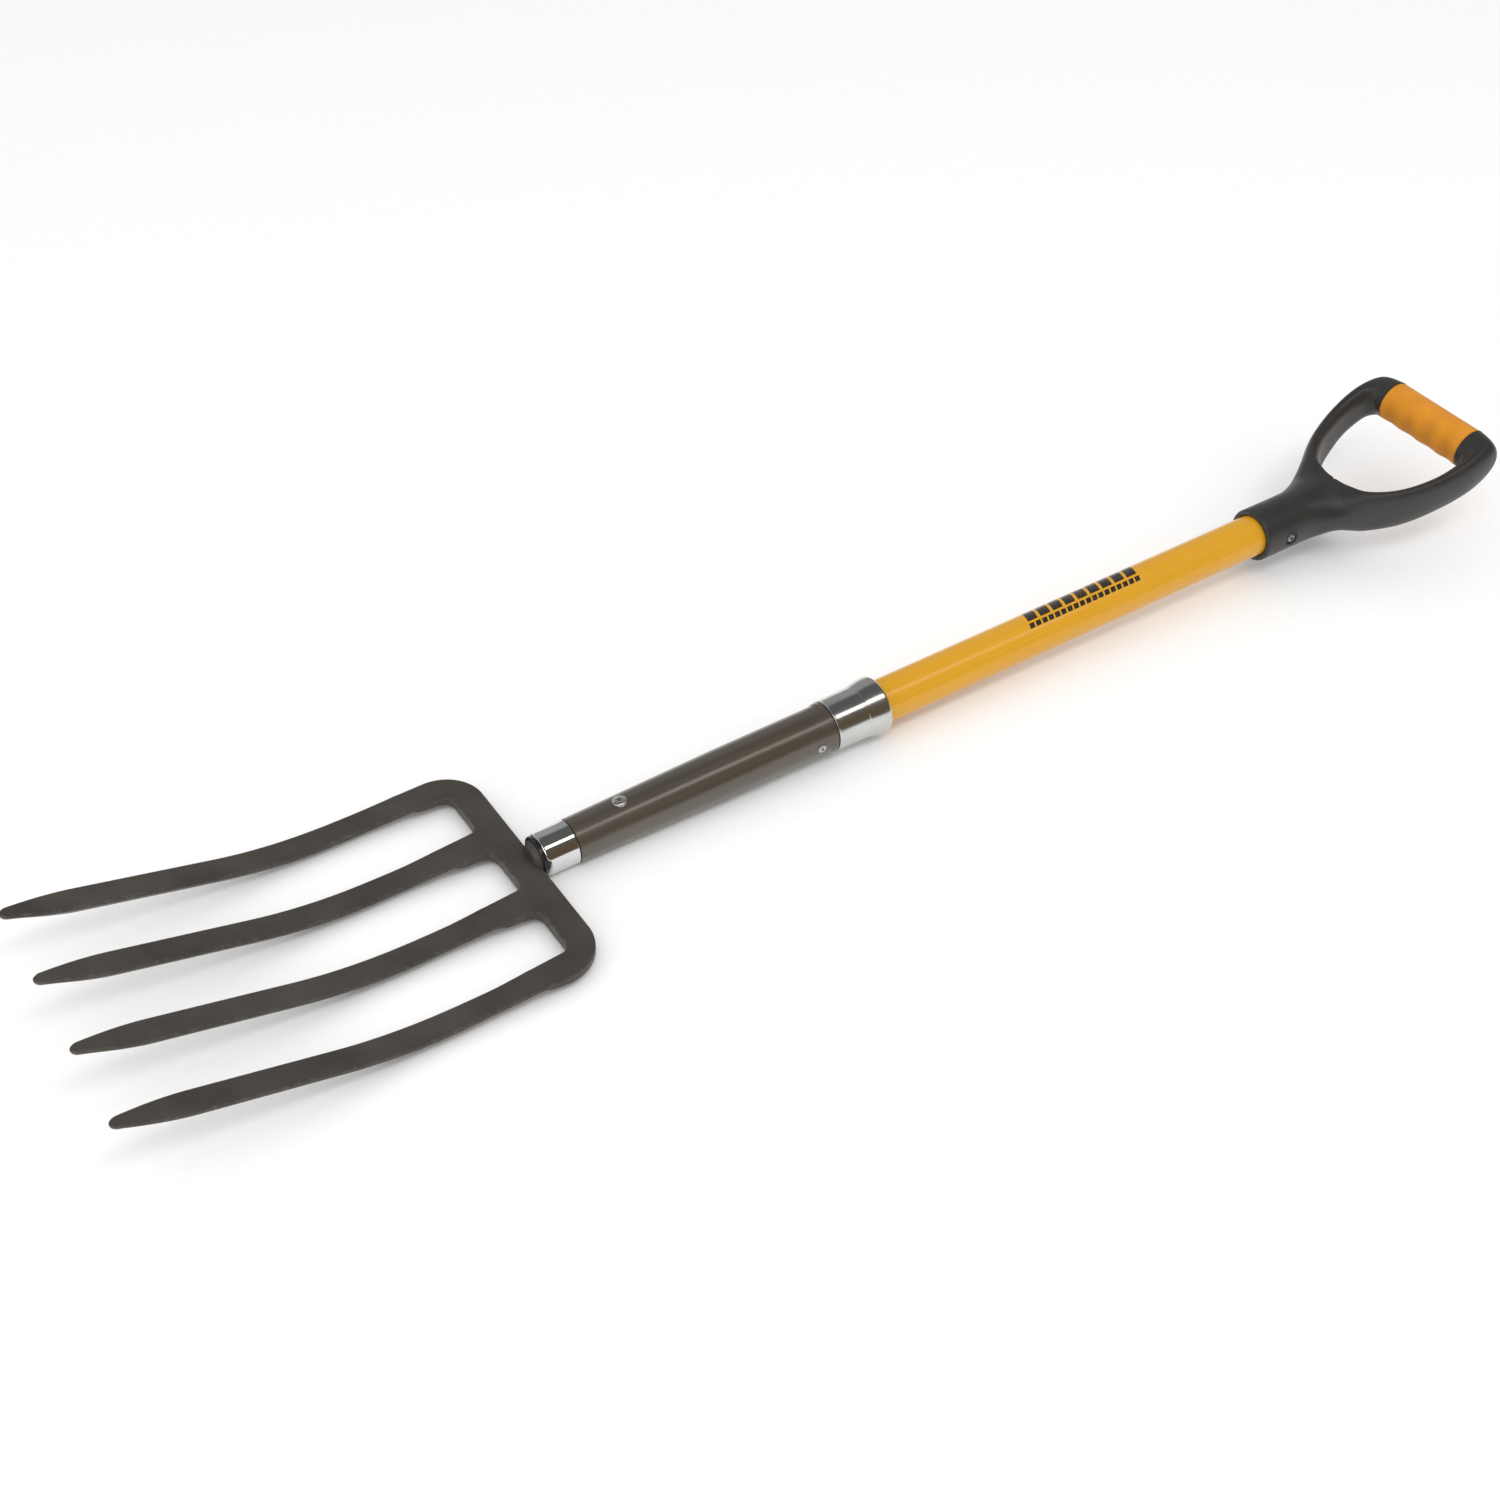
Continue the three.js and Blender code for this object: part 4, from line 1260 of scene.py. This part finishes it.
@dataclass
class Handle:
    """The moulded D-handle: a socket that splits into two arms, joined by a bar under the grip.

    A station row holds, in the plane of the D, an arm's inner point and outer point (distance
    along the handle, distance from the middle plane), then half the thickness across that
    plane, and the width and height of the inner edge's rounding.

    Attributes:
        cant: the angle that the handle bends towards the fork's front.
        bend_start, bend_length: where along the handle that bend is.
        grip_at: the grip's distance along the handle.
        grip_radius, grip_half: the radius of the moulding at the grip's seams, and half its width.
        bar_radius: the radius of the bar inside the grip.
        bore, bore_depth: the radius and depth of the hole for the shaft.
        socket_radius, lip: the socket's outer radius, and the rounding of its rim.
        roundness: the power of the superellipse on the arm's outer side.
        recess, recess_depth, rim_height: the rivet's seat, and the thin ring that stands round it.
        neck, arm: the station rows of the splitting neck and of an arm.
    """

    cant: float = math.radians(18.0)
    bend_start: float = 33.0
    bend_length: float = 90.0
    grip_at: float = 177.8
    grip_radius: float = 14.8
    grip_half: float = 37.4
    bar_radius: float = 11.5
    bore: float = 15.3
    bore_depth: float = 58.0
    socket_radius: float = 19.2
    lip: float = 1.6
    roundness: float = 2.15
    recess: float = 5.0
    recess_depth: float = 1.75
    rim_height: float = 0.3
    neck: tuple[tuple[float, ...], ...] = (
        (32.0, 0.0, 32.0, 19.2, 19.2, 0.0, 0.0),
        (48.0, 0.0, 44.5, 19.8, 18.8, 0.0, 0.0),
        (72.0, 0.0, 56.0, 23.2, 18.2, 0.0, 0.0),
        (82.0, 0.0, 64.0, 26.5, 17.9, 5.0, 6.0),
    )
    arm: tuple[tuple[float, ...], ...] = (
        (82.0, 0.0, 64.0, 26.5, 17.9, 5.0, 6.0),
        (84.5, 12.0, 71.0, 29.8, 17.8, 6.0, 7.0),
        (91.0, 25.5, 80.0, 34.5, 17.6, 5.5, 8.0),
        (109.0, 38.2, 102.5, 47.8, 16.4, 5.5, 8.0),
        (135.0, 46.7, 130.0, 57.3, 15.0, 6.0, 8.5),
        (157.0, 48.0, 160.0, 61.5, 15.0, 7.0, 10.0),
        (163.5, 43.5, 186.0, 56.5, 14.85, 11.0, 13.0),
        (163.0, 37.4, 192.6, 37.4, 14.8, 14.8, 14.8),
    )

    @property
    def rim(self) -> float:
        """Where the socket begins along X, from the frame."""
        return float(node_box("d_handle")[0][0])

    def on_handle(self, p: Array, q: Array, h: Array) -> Array:
        """Places points at p along the handle, q to the side and h above its bent middle surface.

        Before the bend the line is straight, in it an arc of radius length / cant, and after it
        straight at the cant angle. The height is measured square to that line.

        Args:
            p, q, h: the distances.

        Returns:
            An array of points.
        """
        radius = self.bend_length / self.cant
        angle = np.clip((p - self.bend_start) / self.bend_length, 0.0, 1.0) * self.cant
        after = np.maximum(p - self.bend_start - self.bend_length, 0.0)
        x = np.minimum(p, self.bend_start) + radius * np.sin(angle) + after * math.cos(self.cant)
        z = radius * (1.0 - np.cos(angle)) + after * math.sin(self.cant)
        return np.stack([self.rim + x - h * np.sin(angle), q + 0.0 * h, z + h * np.cos(angle)], axis=-1)

    def section_angles(self) -> Array:
        """Angles down the outer side, close together where the rivet's seat is."""
        upper, middle = np.linspace(90, 22, 15)[:-1], np.linspace(22, -22, 33)
        return np.radians(np.concatenate([upper, middle, -upper[::-1]]))

    def rings(self, rows: Array) -> Array:
        """Section points for every station row.

        The outer side is a superellipse, (c^k, s^k) with k = 2 / roundness, from the rounding's
        crest to the outer point. Two quarter ellipses round the inner edges, and a flat face
        joins them.

        Args:
            rows: the station rows.

        Returns:
            A ring of points for each row.
        """
        inner_p, inner_q, outer_p, outer_q, half, wide, tall = (rows[:, k:k + 1] for k in range(7))
        width = np.hypot(outer_p - inner_p, outer_q - inner_q)
        t = self.section_angles()[None, :]
        c, s = np.maximum(np.cos(t), 0.0), np.sin(t)
        oval = smoothstep((inner_p - self.bend_start) / 40.0)
        power = 2.0 / (2.0 + (self.roundness - 2.0) * oval)
        side_d, side_h = wide + (width - wide) * c**power, half * np.sign(s) * np.abs(s) ** power
        turn = np.radians(np.linspace(0, 90, 8))[None, 1:]
        round_d = wide * (1.0 - np.sin(turn))
        round_h = half - tall + tall * np.cos(turn)
        flat_h = (half - tall) * np.linspace(-1, 1, 7)[None, 1:-1]
        d = np.hstack([side_d, round_d, 0.0 * flat_h, round_d[:, ::-1]])
        h = np.hstack([side_h, -round_h, flat_h, round_h[:, ::-1]])
        k = d / np.maximum(width, 1e-9)
        return self.on_handle(inner_p + (outer_p - inner_p) * k, inner_q + (outer_q - inner_q) * k, h)

    def socket_rows(self) -> Array:
        """Stations from the bore's floor out to the rim, round the lip and along the outside.

        Returns:
            The station rows.
        """
        r = self.lip
        lip = arc(r, self.socket_radius - r, r, r, 180, 90, 8)
        inner_lip = arc(1.1, self.bore + 1.1, 1.1, 1.1, 270, 180, 6)
        fine = np.arange(15.0, 31.01, 0.5)
        profile = np.vstack([
            [[self.bore_depth, 0.02], [self.bore_depth, self.bore]],
            span([self.bore_depth - 8, self.bore], [2.0, self.bore], 5), inner_lip, lip,
            [[5.0, self.socket_radius], [10.0, self.socket_radius]],
            np.stack([fine, np.full(len(fine), self.socket_radius)], axis=1),
        ])
        p, radius = profile[:, 0], profile[:, 1]
        zero = np.zeros(len(p))
        return np.stack([p, zero, p, radius, radius, zero, zero], axis=1)

    def all_rows(self) -> Array:
        """Every station from the bore to the seam with the grip.

        Returns:
            The station rows.
        """
        neck, arm = np.array(self.neck), np.array(self.arm)
        before_neck = neck[0].copy()
        before_neck[[0, 2]] -= 16.0
        neck_rows = catmull_rom(neck, before_neck, arm[1], (10, 14, 10))[:-1]
        neck_rows[:, 1] = 0.0
        crotch = neck_rows[:, 0] - neck[2][0]
        swell = np.clip(crotch / (neck[3][0] - neck[2][0]), 0.0, 1.0) ** 2
        neck_rows[:, 5:] = neck[3][5:] * swell[:, None]
        before_arm = neck[2].copy()
        before_arm[0], before_arm[1] = arm[1][0], -arm[1][1]
        before_arm[5:] = arm[1][5:]
        after_arm = arm[-1].copy()
        after_arm[[1, 3]] -= 8.0
        arm_rows = catmull_rom(arm, before_arm, after_arm, (10, 10, 12, 12, 10, 14, 12))
        return np.vstack([self.socket_rows(), neck_rows, arm_rows])

    def recessed(self, points: Array) -> Array:
        """Sinks a round seat for the rivet into the socket's side.

        With d the distance from the rivet's axis, points move in by an S-curve over the last part
        of the way to the recess's edge, and a thin rim stands up round it as a bell curve.

        Args:
            points: the rings' points.

        Returns:
            The moved points.
        """
        at = middle_x("handle_rivet_right")
        from_axis = np.hypot(points[..., 1], points[..., 2])
        round_wall = from_axis * np.arctan2(points[..., 2], np.maximum(points[..., 1], 1e-6))
        distance = np.hypot(points[..., 0] - at, round_wall)
        outside = from_axis > self.bore + 2.0
        depth = self.recess_depth * smoothstep((self.recess + 0.35 - distance) / 0.7)
        rim = self.rim_height * np.exp(-(((distance - self.recess - 1.0) / 0.5) ** 2))
        moved = np.where(outside & (points[..., 1] > 0), rim - depth, 0.0)
        scale = (from_axis + moved) / np.maximum(from_axis, 1e-6)
        return points * np.stack([np.ones_like(scale), scale, scale], axis=-1)

    def half(self) -> Shape:
        """One half of the handle, with the bar's end and its run to the middle plane.

        Returns:
            The half, open at the middle plane.
        """
        rings = self.recessed(self.rings(self.all_rows()))
        seam = rings[-1]
        centre = self.on_handle(np.array(self.grip_at), np.array(0.0), np.array(0.0))
        spoke = (seam - centre) * [1.0, 0.0, 1.0] / self.grip_radius
        radii = np.array([self.grip_radius - 0.25, self.bar_radius, self.bar_radius, self.bar_radius])
        across = np.array([self.grip_half - 0.25, self.grip_half - 0.3, self.grip_half / 2, 0.0])
        bar = centre * [1.0, 0.0, 1.0] + spoke[None] * radii[:, None, None]
        bar[..., 1] = across[:, None]
        return Shape.grid(np.concatenate([rings, bar]), close_columns=True).without_middle_faces()

    def build(self) -> None:
        """Joins the two halves along the middle plane."""
        half = self.half()
        half.points[np.abs(half.points[:, 1]) < 1e-5, 1] = 0.0
        handle = half.joined(half.mirrored())
        make_piece("moulded_d_handle", handle, GrainedPlastic().material(), "d_handle", sharp=40)


@dataclass
class Grip:
    """The soft sleeve on the handle's bar, with shallow hollows for four fingers.

    Attributes:
        hollows: how many finger hollows there are.
        depth: how deep they are.
        facing: the direction of their middle, in degrees from +X towards +Z.
        end_round: the rounding of the sleeve's ends.
    """

    handle: Handle
    hollows: int = 4
    depth: float = 0.8
    facing: float = 200.0
    end_round: float = 0.7

    def build(self) -> None:
        """Makes the sleeve.

        Its radius at y and angle a is the grip's radius less
        depth * (1 + cos(2 pi n y / length)) / 2 * max(cos(a - facing), 0)^1.5, which fades towards
        the ends. They are quarter-round, and the bore is straight.
        """
        low, high = node_box("grip_sleeve")
        centre, length = (low + high) / 2, high[1] - low[1]
        radius, r, bore = self.handle.grip_radius, self.end_round, self.handle.bar_radius + 0.15
        turn = np.radians(np.linspace(0, 90, 6))
        end_y, end_in = length / 2 - r + r * np.sin(turn[::-1]), r - r * np.cos(turn[::-1])
        y = np.concatenate([-end_y, np.linspace(-length / 2 + r, length / 2 - r, 97)[1:-1], end_y[::-1]])
        inset = np.concatenate([end_in, np.zeros(95), end_in[::-1]])
        a = np.linspace(0, 2 * math.pi, 128, endpoint=False)[None, :]
        wave = 0.5 * (1 + np.cos(2 * math.pi * self.hollows * (y / length + 0.5 / self.hollows)))[:, None]
        wave = wave * smoothstep((length / 2 - np.abs(y)) / 7.0)[:, None]
        toward = np.maximum(np.cos(a - math.radians(self.facing)), 0.0) ** 1.5
        outer = radius - inset[:, None] - self.depth * wave * toward
        inner = np.full((2, a.size), bore)
        rings = np.vstack([outer, inner])
        along = np.concatenate([y, [length / 2, -length / 2]])[:, None] + 0.0 * rings
        points = np.stack([centre[0] + rings * np.cos(a), along, centre[2] + rings * np.sin(a)], axis=-1)
        shape = Shape.grid(points, close_rows=True, close_columns=True)
        # The hollow mark follows the hollows' depth; the finish darkens the colour there as painted shade.
        shape.marks["hollow"] = np.vstack([wave * toward, 0.0 * inner]).ravel()
        make_piece("soft_grip_sleeve", shape, SoftTouch().material(), "grip_sleeve")


# ---------------------------------------------------------------- floor, light and camera


@dataclass
class Studio:
    """A pale floor, soft light and the camera.

    Attributes:
        lens: the focal length for a 36 mm sensor.
        eye: the camera's place, in millimetres.
        turn, dip: the camera's heading from +Y towards +X and its dip below level, in degrees.
        floor_dip: the floor's fall along X, so that it touches the head's back and the collar.
        floor_half: half the floor's width.
        pale: the floor's colour.
        ambient: how bright the surround is to matt surfaces.
        room: what shiny surfaces mirror, as stops of a share of the half turn round X and a colour.
    """

    lens: float = 49.97
    eye: tuple[float, float, float] = (-360.7, -805.9, 912.2)
    turn: float = 33.141
    dip: float = 43.177
    floor_dip: float = 0.0318
    floor_half: float = 9000.0
    pale: Colour = (0.95, 0.95, 0.947)
    ambient: float = 0.94
    room: tuple[tuple[float, Colour], ...] = (
        (0.0, (0.38, 0.38, 0.38)), (0.26, (0.36, 0.36, 0.36)), (0.31, (0.11, 0.115, 0.12)),
        (0.52, (0.12, 0.12, 0.12)), (0.72, (0.13, 0.10, 0.07)), (0.96, (0.12, 0.085, 0.045)),
        (1.0, (0.20, 0.19, 0.17)),
    )

    def camera(self) -> None:
        """Makes the camera and aims it along its heading."""
        data = bpy.data.cameras.new("camera")
        data.lens, data.sensor_width = self.lens, 36.0
        data.clip_start, data.clip_end = 0.01, 50.0
        camera = bpy.data.objects.new("camera", data)
        a, e = math.radians(self.turn), math.radians(self.dip)
        ahead = Vector((math.sin(a) * math.cos(e), math.cos(a) * math.cos(e), -math.sin(e)))
        camera.location = Vector(self.eye) * MM
        camera.rotation_euler = ahead.to_track_quat("-Z", "Y").to_euler()
        bpy.context.scene.collection.objects.link(camera)
        bpy.context.scene.camera = camera

    def floor(self) -> None:
        """A large flat sheet under the collar, tipped to touch the head's back as well."""
        low, high = node_box("collar")
        at_x, at_z = high[0] - 8.0, low[2] - 0.05
        half = self.floor_half
        x, y = (grid.ravel() for grid in np.meshgrid([-half, half], [-half, half], indexing="ij"))
        corners = np.stack([x, y, at_z - self.floor_dip * (x - at_x)], axis=1)
        mesh = bpy.data.meshes.new("floor")
        mesh.from_pydata((corners * MM).tolist(), [], [(0, 2, 3, 1)])
        s = Shader("floor_paper", self.pale, 0.7)
        grain = s.noise(120.0, 4.0)
        s.drive("Base Color", s.mix(s.between(grain, 0.3, 0.7), shade(self.pale, 0.985), self.pale))
        s.bumps((grain, 0.02))
        mesh.materials.append(s.material)
        floor = bpy.data.objects.new("floor", mesh)
        bpy.context.scene.collection.objects.link(floor)

    def lamp(
        self, name: str, place: Sequence[float], aim: Sequence[float], size: Sequence[float], watts: float,
    ) -> None:
        """A soft rectangular light.

        Args:
            name: the light's name.
            place, aim: where it is and the point that it faces, in metres.
            size: its two sides, in metres.
            watts: its power.
        """
        data = bpy.data.lights.new(name, "AREA")
        data.shape, data.size, data.size_y, data.energy = "RECTANGLE", size[0], size[1], watts
        lamp = bpy.data.objects.new(name, data)
        lamp.location = Vector(place)
        ahead = (Vector(aim) - Vector(place)).normalized()
        lamp.rotation_euler = ahead.to_track_quat("-Z", "Y").to_euler()
        bpy.context.scene.collection.objects.link(lamp)

    def sky(self) -> None:
        """The surround: white to the camera, an even grey to matt surfaces, and a room to shiny ones.

        The room is banded by the angle round the X axis, atan2(z, y) / pi: a grey backdrop behind
        the fork, a dark ceiling overhead and a dim brown room on the camera's side.
        """
        world = bpy.data.worlds.new("surround")
        bpy.context.scene.world = world
        world.use_nodes = True
        nodes, links = world.node_tree.nodes, world.node_tree.links
        axes = nodes.new("ShaderNodeSeparateXYZ")
        links.new(nodes.new("ShaderNodeTexCoord").outputs["Generated"], axes.inputs[0])
        angle, share = nodes.new("ShaderNodeMath"), nodes.new("ShaderNodeMath")
        angle.operation, share.operation = "ARCTAN2", "DIVIDE"
        links.new(axes.outputs["Z"], angle.inputs[0])
        links.new(axes.outputs["Y"], angle.inputs[1])
        links.new(angle.outputs[0], share.inputs[0])
        share.inputs[1].default_value = math.pi
        ramp = nodes.new("ShaderNodeValToRGB")
        links.new(share.outputs[0], ramp.inputs["Fac"])
        ramp.color_ramp.elements.remove(ramp.color_ramp.elements[1])
        for k, (at, colour) in enumerate(self.room):
            stop = ramp.color_ramp.elements[0] if k == 0 else ramp.color_ramp.elements.new(at)
            stop.position, stop.color = at, (*colour, 1.0)
        ray = nodes.new("ShaderNodeLightPath")
        level = (self.ambient,) * 3
        shiny = self.choice(world, ray.outputs["Is Glossy Ray"], level, ramp.outputs["Color"])
        seen = self.choice(world, ray.outputs["Is Camera Ray"], shiny, (1.0, 1.0, 1.0))
        links.new(seen, nodes["Background"].inputs["Color"])

    @staticmethod
    def choice(world: bpy.types.World, pick: Socket, no: Colour | Socket, yes: Colour | Socket) -> Socket:
        """One of two colours.

        Args:
            world: the surround being built.
            pick: 1 or 0 for each ray.
            no, yes: the colours for 0 and for 1.

        Returns:
            The chosen colour.
        """
        made = world.node_tree.nodes.new("ShaderNodeMix")
        made.data_type = "RGBA"
        world.node_tree.links.new(pick, made.inputs["Factor"])
        for socket, value in ((made.inputs[6], no), (made.inputs[7], yes)):
            if isinstance(value, bpy.types.NodeSocket):
                world.node_tree.links.new(value, socket)
            else:
                socket.default_value = (*value, 1.0)
        return made.outputs[2]

    def build(self) -> None:
        """Sets up the camera, floor, surround and lamps."""
        self.camera()
        self.floor()
        self.sky()
        self.lamp("key_bank", (0.2, -0.95, 2.1), (0.2, 0.0, 0.0), (3.4, 0.55), 15.0)
        self.lamp("head_fill", (-2.2, -0.3, 0.8), (-0.1, 0.0, 0.0), (1.6, 1.0), 10.0)
        view = bpy.context.scene.view_settings
        view.view_transform, view.look = "Standard", "None"


# ---------------------------------------------------------------- the whole fork


def dress_cores() -> None:
    """Gives the two cores, which stay as they are inside the shaft, their own finish."""
    material = DullCore().material()
    for node in ("lower_core", "upper_core"):
        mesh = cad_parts[node].data
        mesh.materials.clear()
        mesh.materials.append(material)
        log.info("%s: filler finish", node)


def main() -> None:
    """Builds the fork from the head to the handle, then the studio."""
    logging.basicConfig(level=logging.INFO, format="%(message)s")
    Studio().build()
    ForkHead().build()
    fittings = SocketFittings()
    fittings.build()
    BlindRivet("tang_rivet", Wall.FRONT, wall=15.01, head=4.7, rise=1.5, hole=1.25, shank=2.3).build()
    BlindRivet(
        "shaft_rivet", Wall.LEFT, wall=fittings.tube_radius, head=3.1, rise=1.05, hole=0.85, shank=1.5,
        metal=(0.52, 0.52, 0.51),
    ).build()
    handle = Handle()
    seat = handle.socket_radius - handle.recess_depth
    for node, side in (("handle_rivet_left", Wall.LEFT), ("handle_rivet_right", Wall.RIGHT)):
        BlindRivet(
            node, side, wall=seat, head=3.3, rise=1.4, hole=1.25, shank=1.9, metal=(0.33, 0.33, 0.32),
        ).build()
    handle.build()
    Grip(handle).build()
    dress_cores()


if __name__ == "__main__":
    main()
